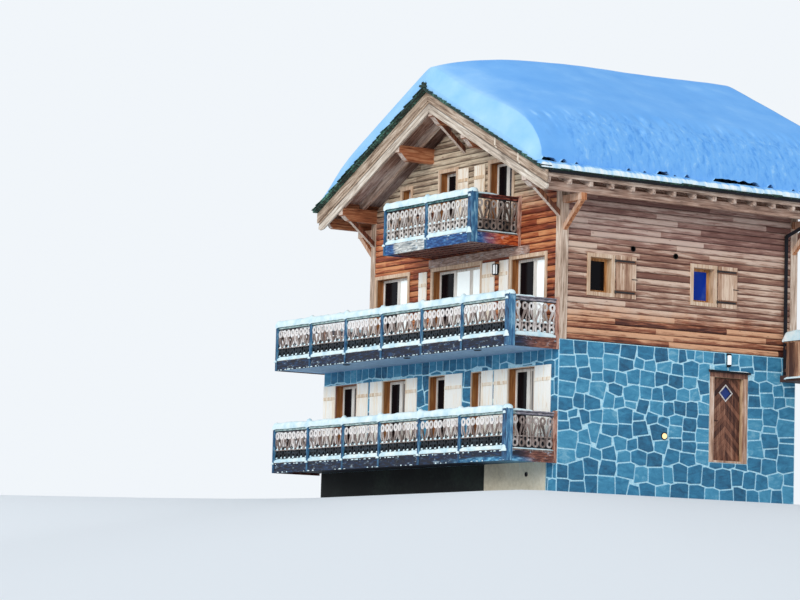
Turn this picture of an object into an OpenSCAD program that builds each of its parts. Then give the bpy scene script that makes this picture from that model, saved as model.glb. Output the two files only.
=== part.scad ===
// Alpine chalet: a stone ground storey, two log storeys and three carved balconies under a snowy gable roof.
// The front looks along -Y, the side with the door looks along +X, and Z runs up from the lowest ground.
// Lengths are measured from the front right corner of the house: leftwards, backwards and upwards.

/* [House] */
// Width of the log storeys, corner to corner
timber_w = 8600; // [8500:20:8900]
// Width of the stone storey, which carries a terrace on its left end
stone_w = 10840; // [10800:20:11200]
// Depth of the house, front to back
house_d = 7200; // [7100:50:7800]
// Height of the stone walls above the lowest ground
stone_h = 3750; // [3700:10:3800]
// Thickness of the stone walls
stone_t = 400; // [300:10:500]
// Thickness of the log walls
log_t = 160; // [130:5:200]
// Courses of logs below the wall plates
log_courses = 24; // [22:1:26]
// Height of one log
log_h = 148; // [144:1:152]
// Depth of the groove between two logs
log_groove = 30; // [10:1:40]

/* [Roof] */
// Rise of the roof for each unit of run
roof_slope = 0.49; // [0.45:0.01:0.52]
// Overhang of the roof past the side walls
eave_out = 915; // [850:5:1100]
// Overhang of the roof past the gable walls
gable_out = 1130; // [1050:10:1250]
// Distance between two rafters
rafter_step = 590; // [500:10:700]
// Depth of the snow on the roof
snow_deep = 1180; // [700:10:1300]
// Depth of the snow at the front edge of the roof
snow_front = 570; // [250:10:700]

/* [Balconies] */
// Reach of the balconies in front of the wall
balcony_d = 1450; // [1300:10:1600]
// Height from the foot of a fascia to the top of its handrail
balcony_h = 1200; // [1150:10:1300]
// Height of the fascia boards
fascia_h = 250; // [200:10:280]
// Spacing of the carved boards
fret_step = 205; // [180:5:260]
// Left end of the top balcony
top_left = 5700; // [5600:10:5800]
// Right end of the top balcony
top_right = 1700; // [1600:10:1800]

/* [Side door] */
// Front edge of the door frame
door_y = 4520; // [4200:10:4700]
// Width of the door frame
door_w = 1170; // [1100:10:1200]
// Height of the door frame above the floor
door_h = 2200; // [2100:10:2300]

/* [Hidden] */

// Levels
floor_low = 1050;
floor_mid = stone_h;
storey_h = 2600;
floor_top = stone_h + storey_h;
slab = 250;
plate_z = stone_h + log_courses * log_h;
door_lintel = floor_low + door_h;
french_top = stone_h + 14 * log_h;

// Roof lines: heights fall with the distance from the ridge, and layers are measured upright
ridge_x = -timber_w / 2;
half_span = timber_w / 2 + eave_out;
plate_h = 243;
deck_t = 30;
core_t = 250;
rafter_t = 220;
tail_t = 310;
under_rafters = deck_t + core_t + rafter_t;
apex_z = plate_z + plate_h + under_rafters + roof_slope * timber_w / 2;
cover_t = 60;
verge_out = 150;
barge_t = 45;
barge_back_t = 40;
barge_upper_h = 250;
barge_h = 550;
roof_y0 = -gable_out;
roof_y1 = house_d + gable_out;
beam_y0 = roof_y0 + barge_t + barge_back_t;
beam_y1 = roof_y1 - barge_t - barge_back_t;
hair = 1;
seam = 0.3;

// Beams
post = 200;
post_proud = 15;
mid_purlin_x = 1500;
purlin_w = 180;
purlin_h = 340;
eave_purlin_x = eave_out - 285;
eave_purlin_w = 140;
eave_purlin_h = 225;
brace_w = 110;
brace_drop = 620;
brace_reach = 750;
bracket_out = eave_purlin_x + 125;
bracket_h = 170;
rafter_w = 90;
gutter_w = 90;
gutter_h = 55;
eave_board_h = 180;

// Balconies
fascia_t = 35;
deck_step = 10;
low_foot = floor_low - deck_step - fascia_h;
mid_foot = stone_h - deck_step - fascia_h;
top_foot = floor_top - fascia_h;
balcony_left = stone_w + 140;
slim_post = 55;
corner_post = 180;
wall_post = 80;
post_front = 20;
fascia_back = post_front + fascia_t;
rail_inset = 60;
rail_bottom = 50;
rail_top = 100;
rail_cap = 40;
mid_rail_z = 330;
function spread(list, width, drawn) = [for (p = list) p * width / drawn];
bay_posts = spread([2050, 3850, 5700, 7450, 9200], balcony_left, 10980);
terrace_bays = 5;
post_extra = 35;

// Windows along the front, as near and far edges left of the right corner, spread with the wall
low_windows = spread([[970, 2110], [3270, 3740], [4910, 5660], [6750, 7860], [9140, 10210]], stone_w, 10840);
low_shutters = spread([[280, 960], [2120, 2700], [2750, 3260], [4120, 4900], [6200, 6740], [7870, 8470],
    [8560, 9130], [10220, 10820]], stone_w, 10840);
mid_windows = spread([[550, 2160], [3340, 5690], [6690, 8380]], timber_w, 8600);
mid_shutters = spread([[2190, 2580], [2790, 3330], [5870, 6240]], timber_w, 8600);
top_windows = spread([[2030, 3180], [4530, 5450], [6650, 7240]], timber_w, 8600);
top_shutters = spread([[3310, 3790], [4060, 4520]], timber_w, 8600);
top_heights = [1950, 1950, 1700];
low_head = floor_low + 2100;
// Windows along the right side, as near and far edges behind the front corner, spread with the wall
side_windows = spread([[764, 1584], [3863, 4683]], house_d, 7200);
side_shutters = spread([[1610, 2210], [4710, 5310]], house_d, 7200);
sill_rise = 1100;
side_window_h = 1020;
side_sill = floor_mid + sill_rise;
side_head = side_sill + side_window_h;
back_windows = spread([[1300, 2120], [3890, 4710], [6480, 7300]], timber_w, 8600);
casing = 70;
lining = 22;
sash_w = 65;
sash_t = 55;
sash_in = 200;
reveal = sash_in + sash_t;
leaf_max = 800;

// Side door
jamb_w = 130;
head_h = 110;
sill_h = 50;
leaf_gap = 10;
seat_gap = 0.3;
leaf_back = -185;
leaf_t = 55;
diamond_z = 2770;
diamond_side = 250;

// Side landing
landing_w = 1500;
landing_y = house_d - 500;
landing_d = 1600;
landing_z = 3300;
parapet_h = 800;

// Outer size, which sets the origin at the middle of the footprint
x_min = -balcony_left;
x_max = landing_w;
y_min = -balcony_d;
y_max = roof_y1 + verge_out;
function top_z(x) = apex_z - roof_slope * abs(x - ridge_x);

module placed() {
    translate([-(x_min + x_max) / 2, -(y_min + y_max) / 2, 0]) children();
}

// A block between two corners
module block(a, b) {
    translate(a) cube(b - a);
}

// A profile drawn in X and Z, run along Y
module along_y(y0, y1) {
    translate([0, y1, 0]) rotate([90, 0, 0]) linear_extrude(y1 - y0) children();
}

// A profile drawn in Y and Z, run along X
module along_x(x0, x1) {
    translate([x0, 0, 0]) rotate([90, 0, 90]) linear_extrude(x1 - x0) children();
}

module to_left() {
    children();
    translate([-timber_w, 0, 0]) mirror([1, 0, 0]) children();
}

module only_left() {
    translate([-timber_w, 0, 0]) mirror([1, 0, 0]) children();
}

module to_back() {
    children();
    only_back() children();
}

module only_back() {
    translate([0, house_d, 0]) mirror([0, 1, 0]) children();
}

// Drawn for the front wall, turned onto the right side wall
module on_right() {
    rotate([0, 0, 90]) children();
}

// Openings of the front wall are lists of near and far distances from the right corner
module front_cuts(list, z0, z1, inset, t) {
    for (w = list)
        block([-w[1] + inset, -60, z0], [-w[0] - inset, t + 60, z1]);
}

// Stone storey
module front_stone_wall() {
    color("#5f86a6") difference() {
        block([-stone_w, 0, 0], [0, stone_t, stone_h]);
        front_cuts(low_windows, floor_low, low_head, 0, stone_t);
    }
}

module right_stone_wall() {
    color("#5f86a6") {
        block([-stone_t, stone_t, 0], [0, door_y, stone_h]);
        block([-stone_t, door_y + door_w, 0], [0, house_d - stone_t, stone_h]);
    }
}

module door_bay_stone_wall() {
    color("#5f86a6") {
        block([-stone_t, door_y, 0], [0, door_y + door_w, floor_low]);
        block([-stone_t, door_y, door_lintel], [0, door_y + door_w, stone_h]);
    }
}

module left_stone_wall() {
    color("#5f86a6") block([-stone_w, stone_t, 0], [-stone_w + stone_t, house_d - stone_t, stone_h]);
}

module back_stone_wall() {
    color("#5f86a6") block([-stone_w, house_d - stone_t, 0], [0, house_d, stone_h]);
}

module lower_floor() {
    color("#8f8a80")
        block([-stone_w + stone_t, stone_t, floor_low - slab], [-stone_t, house_d - stone_t, floor_low]);
}

module middle_floor() {
    color("#9a938a")
        block([-stone_w + stone_t, stone_t, floor_mid - slab], [-stone_t, house_d - stone_t, floor_mid]);
}

module attic_floor() {
    color("#a8875e") {
        block([-timber_w + log_t, post, floor_top - slab], [-log_t, house_d - post, floor_top]);
        block([-timber_w + post, log_t, floor_top - slab], [-post, house_d - log_t, floor_top]);
    }
}

// Log walls: each course is a low arch between two grooves
log_arch = [[1, 0], [0.35, 0.1], [0, 0.26], [0, 0.74], [0.35, 0.9]];
function log_edge(z0, n) = [
    for (i = [0:n - 1], p = log_arch) [log_groove * p[0], z0 + (i + p[1]) * log_h],
    [log_groove, z0 + n * log_h]
];

module log_profile(z0, n) {
    polygon(concat(log_edge(z0, n), [[log_t, z0 + n * log_h], [log_t, z0]]));
}

module front_log_piers() {
    color("#b8703c") difference() {
        along_x(-timber_w + post, -post) log_profile(stone_h, 14);
        front_cuts(mid_windows, stone_h - 10, french_top + 10, casing, log_t);
    }
}

// A gable is planed off under the rafters, and the purlins lie in slots cut down into it
gable_courses = 40;
module roof_cuts() {
    far = timber_w / 2;
    peak = apex_z - under_rafters;
    for (s = [-1, 1])
        along_y(-100, log_t + 100) polygon([
            [ridge_x, peak], [ridge_x + s * far, peak - roof_slope * far], [ridge_x + s * far, peak + 4000],
            [ridge_x, peak + 4000]
        ]);
    for (x = [ridge_x - mid_purlin_x, ridge_x, ridge_x + mid_purlin_x])
        block([x - purlin_w / 2, -100, top_z(x) - under_rafters - purlin_h],
            [x + purlin_w / 2, log_t + 100, peak + 3000]);
}

module front_gable_wall() {
    color("#bd7a48") difference() {
        along_x(-timber_w + post, -post) log_profile(french_top, gable_courses - 14);
        for (i = [0:len(top_windows) - 1])
            front_cuts([top_windows[i]], floor_top, floor_top + top_heights[i], casing, log_t);
        roof_cuts();
    }
}

module back_gable_wall() {
    color("#a9764c") only_back() difference() {
        along_x(-timber_w + post, -post) log_profile(stone_h, gable_courses);
        front_cuts(back_windows, side_sill + casing, side_head - casing, casing, log_t);
        front_cuts([back_windows[1]], floor_top + 500, floor_top + 1500, casing, log_t);
        roof_cuts();
    }
}

module side_log_wall() {
    difference() {
        rotate([0, 0, 90]) along_x(post, house_d - post) log_profile(stone_h, log_courses);
        on_right() for (w = side_windows)
            block([w[0] + casing, -60, side_sill + casing], [w[1] - casing, log_t + 60, side_head - casing]);
        on_right() vent_bores();
    }
}

module right_log_wall() {
    color("#a87f5f") side_log_wall();
}

module left_log_wall() {
    color("#a87f5f") only_left() side_log_wall();
}

module corner_posts() {
    color("#c08a5a") to_left() to_back()
        block([-post, -post_proud, stone_h], [post_proud, post, plate_z]);
}

// Beams that carry the roof, planed to its slope on top
module purlin_section(x, w, h) {
    z = top_z(x) - under_rafters - h;
    ends = [for (e = [w / 2, -w / 2]) [x + e, top_z(x + e) - under_rafters]];
    crown = abs(x - ridge_x) < w / 2 ? [[ridge_x, apex_z - under_rafters]] : [];
    polygon(concat([[x - w / 2, z], [x + w / 2, z]], [ends[0]], crown, [ends[1]]));
}

// The underside of a beam's end rises in an S curve
module ogee_cut(z, h, reach) {
    steps = 8;
    rise = h * 0.6;
    curve = [for (i = [0:steps]) [beam_y0 + reach * i / steps, z + rise * (1 + cos(180 * i / steps)) / 2]];
    along_x(-timber_w - 2000, 2000)
        polygon(concat([[beam_y0 - 10, z - 10], [beam_y0 - 10, z + rise]], curve,
            [[beam_y0 + reach, z - 10]]));
}

module ogee_ends(z, h, reach) {
    ogee_cut(z, h, reach);
    only_back() ogee_cut(z, h, reach);
}

module roof_purlins() {
    color("#8f5a34") for (x = [ridge_x - mid_purlin_x, ridge_x, ridge_x + mid_purlin_x])
        difference() {
            along_y(beam_y0, beam_y1) purlin_section(x, purlin_w, purlin_h);
            ogee_ends(top_z(x) - under_rafters - purlin_h, purlin_h, 300);
        }
}

// The plates lie on the side walls, and a lip outside the rafter feet closes the wall
module wall_plates() {
    lip = 25;
    function rafters_z(x) = top_z(x) - under_rafters;
    function core_z(x) = top_z(x) - deck_t - core_t - seam;
    color("#9c6238") to_left() difference() {
        along_y(beam_y0, beam_y1) polygon([
            [-post, plate_z], [0, plate_z], [0, core_z(0)],
            [-lip, core_z(-lip)], [-lip, rafters_z(-lip)], [-post, rafters_z(-post)]
        ]);
        ogee_ends(plate_z, plate_h, 260);
    }
}

module eave_purlins() {
    x = eave_purlin_x;
    w = eave_purlin_w / 2;
    z = top_z(x) - deck_t - tail_t;
    color("#c39a70") to_left() difference() {
        along_y(beam_y0, beam_y1) polygon([
            [x - w, z - eave_purlin_h], [x + w, z - eave_purlin_h],
            [x + w, z - roof_slope * w], [x - w, z + roof_slope * w]
        ]);
        ogee_ends(z - eave_purlin_h, eave_purlin_h, 200);
    }
}

// A brace runs from a wall face at height z0 out to the underside of a beam at height z1
module brace_profile(z0, z1, reach, thick) {
    foot = thick * sqrt(1 + pow((z1 - z0) / reach, 2));
    head = foot * reach / (z1 - z0);
    polygon([[0, z0], [reach, z1], [reach - head, z1], [0, z0 + foot]]);
}

module gable_brace(x, y, z0, z1, reach) {
    translate([0, y, 0]) mirror([0, 1, 0])
        along_x(x - brace_w / 2, x + brace_w / 2) brace_profile(z0, z1, reach, brace_w);
}

module gable_braces() {
    ridge_under = apex_z - under_rafters - purlin_h;
    color("#a06a3e") to_back() {
        gable_brace(ridge_x, 0, ridge_under - brace_drop, ridge_under, brace_reach);
        to_left() gable_brace(-post / 2, -post_proud, plate_z - brace_drop, plate_z, brace_reach);
    }
}

// Brackets on the corner posts carry the eave purlins
module eave_brackets() {
    z = top_z(eave_purlin_x) - deck_t - tail_t - eave_purlin_h;
    color("#c8743a") to_left() to_back() {
        block([post_proud, 20, z - bracket_h], [bracket_out, 180, z]);
        along_y(45, 155) translate([post_proud, 0])
            brace_profile(z - bracket_h - brace_drop - 30, z - bracket_h, bracket_out - 30, brace_w);
    }
}

// A layer of one roof slope, from u0 to u1 out from the ridge and between two depths below the roof line
module slope_layer(u0, u1, up, down, y0, y1) {
    line = [[u0, up], [u1, up], [u1, -down], [u0, -down]];
    along_y(y0, y1) polygon([for (p = line) [ridge_x + p[0], apex_z - roof_slope * p[0] + p[1]]]);
}

module rafters() {
    span = timber_w / 2;
    count = floor((beam_y1 - beam_y0 - rafter_w) / rafter_step);
    step = (beam_y1 - beam_y0 - rafter_w) / count;
    tail = half_span - 30;
    color("#a97c50") to_left() for (i = [0:count]) {
        y = beam_y0 + i * step;
        slope_layer(hair, span - 25, -deck_t - core_t - seam, under_rafters - seam, y, y + rafter_w);
        along_y(y, y + rafter_w) polygon([for (p = [
            [span, seam], [tail, seam], [tail, tail_t - 70], [tail - 12, tail_t - 40],
            [tail - 40, tail_t - 15], [tail - 90, tail_t - seam], [span, tail_t - seam]
        ]) [ridge_x + p[0], apex_z - roof_slope * p[0] - deck_t - p[1]]]);
    }
}

module roof_core() {
    color("#9a6b42") to_left()
        slope_layer(hair, timber_w / 2, -deck_t - seam, deck_t + core_t, beam_y0, beam_y1);
}

module roof_deck() {
    color("#8a6a4a") to_left() slope_layer(hair, half_span - 30, -seam, deck_t, beam_y0, beam_y1);
}

module roof_covering() {
    color("#1f2f2b") to_left()
        slope_layer(hair, half_span + 20, cover_t, 0, roof_y0 - verge_out, roof_y1 + verge_out);
}

module ridge_cap() {
    z = apex_z + cover_t + seam;
    w = 150;
    color("#1e4a3a") along_y(roof_y0 - verge_out, roof_y1 + verge_out) polygon([
        [ridge_x - w, z - roof_slope * w], [ridge_x, z], [ridge_x + w, z - roof_slope * w],
        [ridge_x + w, z - roof_slope * w + 25], [ridge_x + 30, z + 45], [ridge_x - 30, z + 45],
        [ridge_x - w, z - roof_slope * w + 25]
    ]);
}

module barge_board() {
    tip = half_span;
    slope_layer(hair, tip + 40, -seam, barge_upper_h, roof_y0, roof_y0 + barge_t);
    along_y(roof_y0 + barge_t - 5, beam_y0) polygon([for (p = [
        [2, 3], [tip, 3], [tip, barge_h - 230], [tip + 30, barge_h - 180], [tip + 10, barge_h - 120],
        [tip - 60, barge_h - 60], [tip - 220, barge_h], [2, barge_h]
    ]) [ridge_x + p[0], apex_z - roof_slope * p[0] - p[1]]]);
}

module barge_boards() {
    color("#b7a58f") to_left() to_back() barge_board();
}

module eave_fascias() {
    x = eave_out - 30;
    z = top_z(x);
    color("#b99f84") to_left() along_y(beam_y0, beam_y1) polygon([
        [x, z - seam], [x + 30, z - 15], [x + 30, z - eave_board_h], [x, z - eave_board_h]
    ]);
}

// Square gutters hang on the fascias under the edge of the covering
module gutters() {
    x = eave_out;
    z = top_z(x) - 15;
    wall = 6;
    color("#15202c") to_left() along_y(beam_y0, beam_y1) polygon([
        [x, z], [x, z - gutter_h], [x + gutter_w, z - gutter_h], [x + gutter_w, z - 5],
        [x + gutter_w - wall, z - 5], [x + gutter_w - wall, z - gutter_h + wall],
        [x + wall, z - gutter_h + wall], [x + wall, z]
    ]);
}

// The pipe swings back from the gutter to the wall and runs down it
module downpipe() {
    r = 45;
    y = house_d - 380;
    x = eave_out + gutter_w / 2;
    z = top_z(eave_out) - 15 - gutter_h;
    wall_x = r + 10;
    turn = z - 475;
    knee = z - 745;
    color("#14202e") difference() {
        union() {
            translate([x, y, turn]) cylinder(r = r, h = z - turn, $fn = 32);
            translate([x, y, turn]) sphere(r = r + 4, $fn = 32);
            slant([x, y, turn], [wall_x, y, knee], r);
            translate([wall_x, y, knee]) sphere(r = r + 4, $fn = 32);
            translate([wall_x, y, landing_z]) cylinder(r = r, h = knee - landing_z, $fn = 32);
        }
        translate([x, y, z - 60]) cylinder(r = r - 5, h = 100, $fn = 32);
    }
    color("#14202e") for (c = [landing_z + 500, landing_z + 1900])
        block([0, y - 12, c], [wall_x - r + 4, y + 12, c + 30]);
}

module slant(a, b, r) {
    d = b - a;
    translate(a) rotate([0, acos(d[2] / norm(d)), atan2(d[1], d[0])]) cylinder(r = r, h = norm(d), $fn = 32);
}

// Snow stands steep at the verges, deepens behind its crest and rolls over above the eaves
snow_us = concat([hair * 3, 300, 700, 1200, 1700, 2200, 2700, 3100],
    [for (e = [1900, 1400, 1000, 700, 520, 400, 300, 240, 200, 100, 20, -10]) half_span - e]);
snow_near = [15, 80, 150, 220, 300, 450, 700, 1000, 1400, 1900, 2500, 3300, 4200];
snow_far = [2500, 1200, 700, 300, 240, 170, 100, 50, 15];
snow_ys = concat([for (d = snow_near) roof_y0 - verge_out + d], [for (d = snow_far) roof_y1 + verge_out - d]);
snow_nu = len(snow_us) - 1;
snow_nv = len(snow_ys) - 1;
eave_roll = [[200, 0], [240, 0.14], [300, 0.32], [400, 0.48], [520, 0.6], [700, 0.74], [1000, 0.88],
    [1400, 0.97], [1900, 1]];
crest_line = [[0, 0.05], [0.3, 0], [0.56, 0.4], [0.73, 0.65], [0.92, 1], [1, 1]];
crest_rise = 400;
crest_in = 220;
cap_lift = 66;
function snow_fall(u) = roof_slope * (sqrt(u * u + 150 * 150) - 82);
function snow_depth(u, y, rise) = let (
    near = y - roof_y0 + verge_out,
    far = roof_y1 + verge_out - y,
    crest = snow_front + rise * lookup(u / half_span, crest_line),
    front = near < crest_in ? 100 + (crest - 100) * near / crest_in
        : crest + (snow_deep - crest) * (1 - exp(-(near - crest_in) / 1600)),
    back = far < 300 ? 60 + (snow_deep - 60) * pow(far / 300, 0.55) : snow_deep * 2
) min(front, back) * lookup(half_span - u, eave_roll);
function snow_base(u) = apex_z + cover_t + seam - roof_slope * u + cap_lift * max(0, 1 - u / 400);
function snow_top(u, y, rise) = max(
    snow_base(u) + (half_span - u < 0 ? 25 : 90),
    apex_z + cover_t - snow_fall(u) + snow_depth(u, y, rise)
);
function snow_point(i, j, top, rise) = let (u = snow_us[i], y = snow_ys[j]) [
    ridge_x + u, y, top ? snow_top(u, y, rise) : snow_base(u)
];

module snow_half(rise) {
    n = snow_nu + 1;
    m = snow_nv + 1;
    points = [for (top = [0, 1], i = [0:snow_nu], j = [0:snow_nv]) snow_point(i, j, top == 1, rise)];
    function id(top, i, j) = top * n * m + i * m + j;
    faces = concat(
        [for (i = [0:snow_nu - 1], j = [0:snow_nv - 1], k = [0, 1]) k == 0
            ? [id(1, i, j), id(1, i, j + 1), id(1, i + 1, j + 1)]
            : [id(1, i, j), id(1, i + 1, j + 1), id(1, i + 1, j)]],
        [for (i = [0:snow_nu - 1], j = [0:snow_nv - 1], k = [0, 1]) k == 0
            ? [id(0, i, j), id(0, i + 1, j + 1), id(0, i, j + 1)]
            : [id(0, i, j), id(0, i + 1, j), id(0, i + 1, j + 1)]],
        [for (i = [0:snow_nu - 1], k = [0, 1]) k == 0
            ? [id(0, i, 0), id(1, i, 0), id(1, i + 1, 0)] : [id(0, i, 0), id(1, i + 1, 0), id(0, i + 1, 0)]],
        [for (i = [0:snow_nu - 1], k = [0, 1]) k == 0
            ? [id(0, i, m - 1), id(1, i + 1, m - 1), id(1, i, m - 1)]
            : [id(0, i, m - 1), id(0, i + 1, m - 1), id(1, i + 1, m - 1)]],
        [for (j = [0:snow_nv - 1], k = [0, 1]) k == 0
            ? [id(0, 0, j), id(0, 0, j + 1), id(1, 0, j + 1)] : [id(0, 0, j), id(1, 0, j + 1), id(1, 0, j)]],
        [for (j = [0:snow_nv - 1], k = [0, 1]) k == 0
            ? [id(0, n - 1, j), id(1, n - 1, j + 1), id(0, n - 1, j + 1)]
            : [id(0, n - 1, j), id(1, n - 1, j), id(1, n - 1, j + 1)]]
    );
    polyhedron(points = points, faces = faces, convexity = 6);
}

module roof_snow() {
    color("#bfe0ff") {
        snow_half(crest_rise);
        only_left() snow_half(0);
    }
}

// Balconies
module lower_balcony_deck() {
    color("#4a2d22")
        block([-balcony_left + fascia_t, -balcony_d + fascia_back, low_foot + 60],
            [-fascia_t, 0, floor_low - 20]);
}

module middle_balcony_deck() {
    color("#9fc4e6")
        block([-balcony_left + fascia_t, -balcony_d + fascia_back, mid_foot + 20],
            [-fascia_t, 0, stone_h - 20]);
}

module top_balcony_deck() {
    joist = 150;
    count = 12;
    left = -top_left + fascia_t;
    right = -top_right - fascia_t;
    step = (right - left - 80 - joist) / count;
    color("#6b3422") {
        block([left, -balcony_d + fascia_back, top_foot + 150], [right, 0, floor_top - deck_step]);
        for (i = [0:count])
            block([left + 40 + i * step, -balcony_d + fascia_back, top_foot + 40],
                [left + 40 + i * step + joist, 0, top_foot + 160]);
    }
}

module fascia_boards(left, right, foot) {
    top = foot + fascia_h;
    block([-left, -balcony_d + post_front, foot], [-right - corner_post, -balcony_d + fascia_back, top]);
    block([-right - fascia_t, -balcony_d + corner_post, foot], [-right, -wall_post, top]);
    block([-left, -balcony_d + fascia_back + hair, foot], [-left + fascia_t, 0, top]);
}

module balcony_fascias() {
    color("#173a5e") {
        fascia_boards(balcony_left, 0, low_foot);
        fascia_boards(balcony_left, 0, mid_foot);
        fascia_boards(top_left, top_right, top_foot);
        block([-balcony_left, hair, mid_foot], [-stone_w, house_d, mid_foot + fascia_h]);
        block([-top_left - 30, -60, french_top + casing], [-top_right + 380, 0, top_foot - hair]);
    }
}

// One carved board: a loop at the foot, crossing straps and a round head, leaning to one side
fret_outline = [
    [0, 0.24], [0.07, 0.40], [0.24, 0.40], [0.37, 0.17], [0.50, 0.23], [0.68, 0.17], [0.80, 0.37],
    [0.93, 0.37], [1, 0.24]
];
fret_holes = [[0.17, 0.22, 0.09], [0.54, 0.09, 0.1], [0.87, 0.21, 0.07]];
fret_sides = 6;
function fret_lean(t, lean) = -lean * 0.07 * cos(180 * t);
module fret_board(step, h, lean) {
    right = [for (p = fret_outline) [step * (p[1] + fret_lean(p[0], lean)), h * p[0]]];
    left = [for (k = [len(fret_outline) - 1:-1:0]) let (p = fret_outline[k])
        [step * (-p[1] + fret_lean(p[0], lean)), h * p[0]]];
    holes = [for (f = fret_holes, k = [0:fret_sides - 1]) [
        step * (fret_lean(f[0], lean) + f[1] * cos(360 * k / fret_sides)),
        h * (f[0] + f[2] * sin(360 * k / fret_sides))
    ]];
    rim = len(right) + len(left);
    paths = concat([[for (k = [0:rim - 1]) k]],
        [for (f = [0:len(fret_holes) - 1]) [for (k = [0:fret_sides - 1]) rim + f * fret_sides + k]]);
    linear_extrude(20) polygon(concat(right, left, holes), paths);
}

// A panel between two posts, drawn along X with its foot at z = 0
module rail_panel(length) {
    h = balcony_h - fascia_h;
    boards = max(2, round(length / fret_step));
    step = length / boards;
    foot = rail_bottom - 12;
    head = h - rail_cap - rail_top + 12;
    block([0, -25, 0], [length, 25, rail_bottom]);
    block([0, -17, mid_rail_z], [length, 17, mid_rail_z + 26]);
    block([0, -24, h - rail_cap - rail_top], [length, 24, h - rail_cap]);
    block([0, -55, h - rail_cap], [length, 55, h]);
    for (i = [0:boards - 1])
        translate([(i + 0.5) * step, 10, foot]) rotate([90, 0, 0])
            fret_board(step, head - foot, i % 2 == 0 ? 1 : -1);
}

// Panels along the front between posts given as distances from the right corner
module front_panels(stops, foot) {
    for (i = [0:len(stops) - 2])
        translate([-stops[i + 1][0], -balcony_d + rail_inset, foot + fascia_h])
            rail_panel(stops[i + 1][0] - stops[i][1]);
}

module side_panel(x, y0, y1, foot) {
    translate([x, y0, foot + fascia_h]) rotate([0, 0, 90]) rail_panel(y1 - y0);
}

// Each stop is a post: its near edge and its far edge, counted leftwards from the right corner
function stops(right, left, mids) = concat(
    [[right, right + corner_post]],
    [for (m = mids) [m - slim_post / 2, m + slim_post / 2]],
    [[left - slim_post, left]]
);
long_stops = stops(0, balcony_left, bay_posts);
top_mid = (top_left + top_right + corner_post - slim_post) / 2;
top_stops = stops(top_right, top_left, [top_mid]);
terrace_x = -balcony_left + rail_inset;
terrace_step = house_d / terrace_bays;

// The run on the right starts behind the corner post, the run on the left behind the slim end post
right_run = -balcony_d + corner_post;
left_run = -balcony_d + slim_post + rail_inset + hair;
back_end = -timber_w - post_proud;
back_run = balcony_left + back_end - slim_post - rail_inset - hair;

module lower_railing_panels() {
    color("#a98a72") {
        front_panels(long_stops, low_foot);
        side_panel(-rail_inset, right_run, -wall_post, low_foot);
        side_panel(terrace_x, left_run, -wall_post, low_foot);
    }
}

module middle_railing_panels() {
    color("#a98a72") {
        front_panels(long_stops, mid_foot);
        side_panel(-rail_inset, right_run, -wall_post, mid_foot);
        side_panel(terrace_x, left_run, -slim_post / 2, mid_foot);
        for (i = [0:terrace_bays - 1])
            side_panel(terrace_x, i * terrace_step + slim_post / 2, (i + 1) * terrace_step - slim_post / 2
                - (i == terrace_bays - 1 ? rail_inset : 0), mid_foot);
        for (x = [back_end - back_run, back_end - (back_run - slim_post) / 2])
            translate([x, house_d - rail_inset, stone_h]) rail_panel((back_run - slim_post) / 2);
    }
}

module top_railing_panels() {
    color("#a98a72") {
        front_panels(top_stops, top_foot);
        side_panel(-top_right - rail_inset, right_run, -wall_post, top_foot);
        side_panel(-top_left + rail_inset, left_run, -wall_post, top_foot);
    }
}

module slim(x, y, foot) {
    translate([x, y, foot + fascia_h]) translate([-slim_post / 2, -slim_post / 2, 0])
        cube([slim_post, slim_post, balcony_h - fascia_h + post_extra]);
}

// The posts of a balcony front reach down over the face of its fascia
module front_post(x0, x1, depth, foot) {
    block([x0, -balcony_d, foot], [x1, -balcony_d + post_front, foot + balcony_h]);
    block([x0, -balcony_d, foot + fascia_h], [x1, -balcony_d + depth, foot + balcony_h + post_extra]);
}

module end_posts(left, right, foot) {
    rail_z = foot + fascia_h;
    front_post(-right - corner_post, -right, corner_post, foot);
    block([-right - corner_post, -balcony_d, foot], [-right, -balcony_d + fascia_back, rail_z + 10]);
    block([-right - fascia_t, -balcony_d, foot], [-right, -balcony_d + corner_post, rail_z + 10]);
    block([-right - fascia_t, -wall_post, foot], [-right, 0, rail_z + 10]);
    block([-right - wall_post - 20, -wall_post, rail_z],
        [-right, foot == mid_foot ? -post_proud : 0, foot + balcony_h + post_extra]);
    front_post(-left, -left + slim_post, slim_post + rail_inset, foot);
}

module railing_posts() {
    color("#3f6385") {
        for (foot = [low_foot, mid_foot]) {
            end_posts(balcony_left, 0, foot);
            for (m = bay_posts)
                front_post(-m - slim_post / 2, -m + slim_post / 2, rail_inset + slim_post / 2, foot);
        }
        end_posts(top_left, top_right, top_foot);
        front_post(-top_mid - slim_post / 2, -top_mid + slim_post / 2, rail_inset + slim_post / 2, top_foot);
        for (f = [[balcony_left, low_foot], [top_left, top_foot]])
            block([-f[0] + 20, -wall_post, f[1] + fascia_h], [-f[0] + 20 + wall_post, 0, f[1] + balcony_h]);
        for (i = [0:terrace_bays - 1]) slim(terrace_x, i * terrace_step, mid_foot);
        slim(back_end - back_run / 2, house_d - rail_inset, stone_h - fascia_h);
        block([-balcony_left, house_d - rail_inset - slim_post / 2, mid_foot + fascia_h],
            [-balcony_left + slim_post + rail_inset, house_d, mid_foot + balcony_h + post_extra]);
    }
}

// Windows set deep in the wall, drawn for the front with the near bottom corner at the origin
module window_ring(w, h, trim, sill) {
    difference() {
        union() {
            if (trim > 0) block([0, -25, sill ? 0 : trim], [w, 0, h]);
            block([trim, trim > 0 ? 0 : -15, trim], [w - trim, reveal, h - trim]);
        }
        block([trim + lining, -60, trim + lining], [w - trim - lining, reveal + 60, h - trim - lining]);
        if (w > 1200) for (x = [trim + lining, w - trim - lining - hair])
            block([x, -60, -10], [x + hair, reveal + 60, h + 10]);
    }
}

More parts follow.
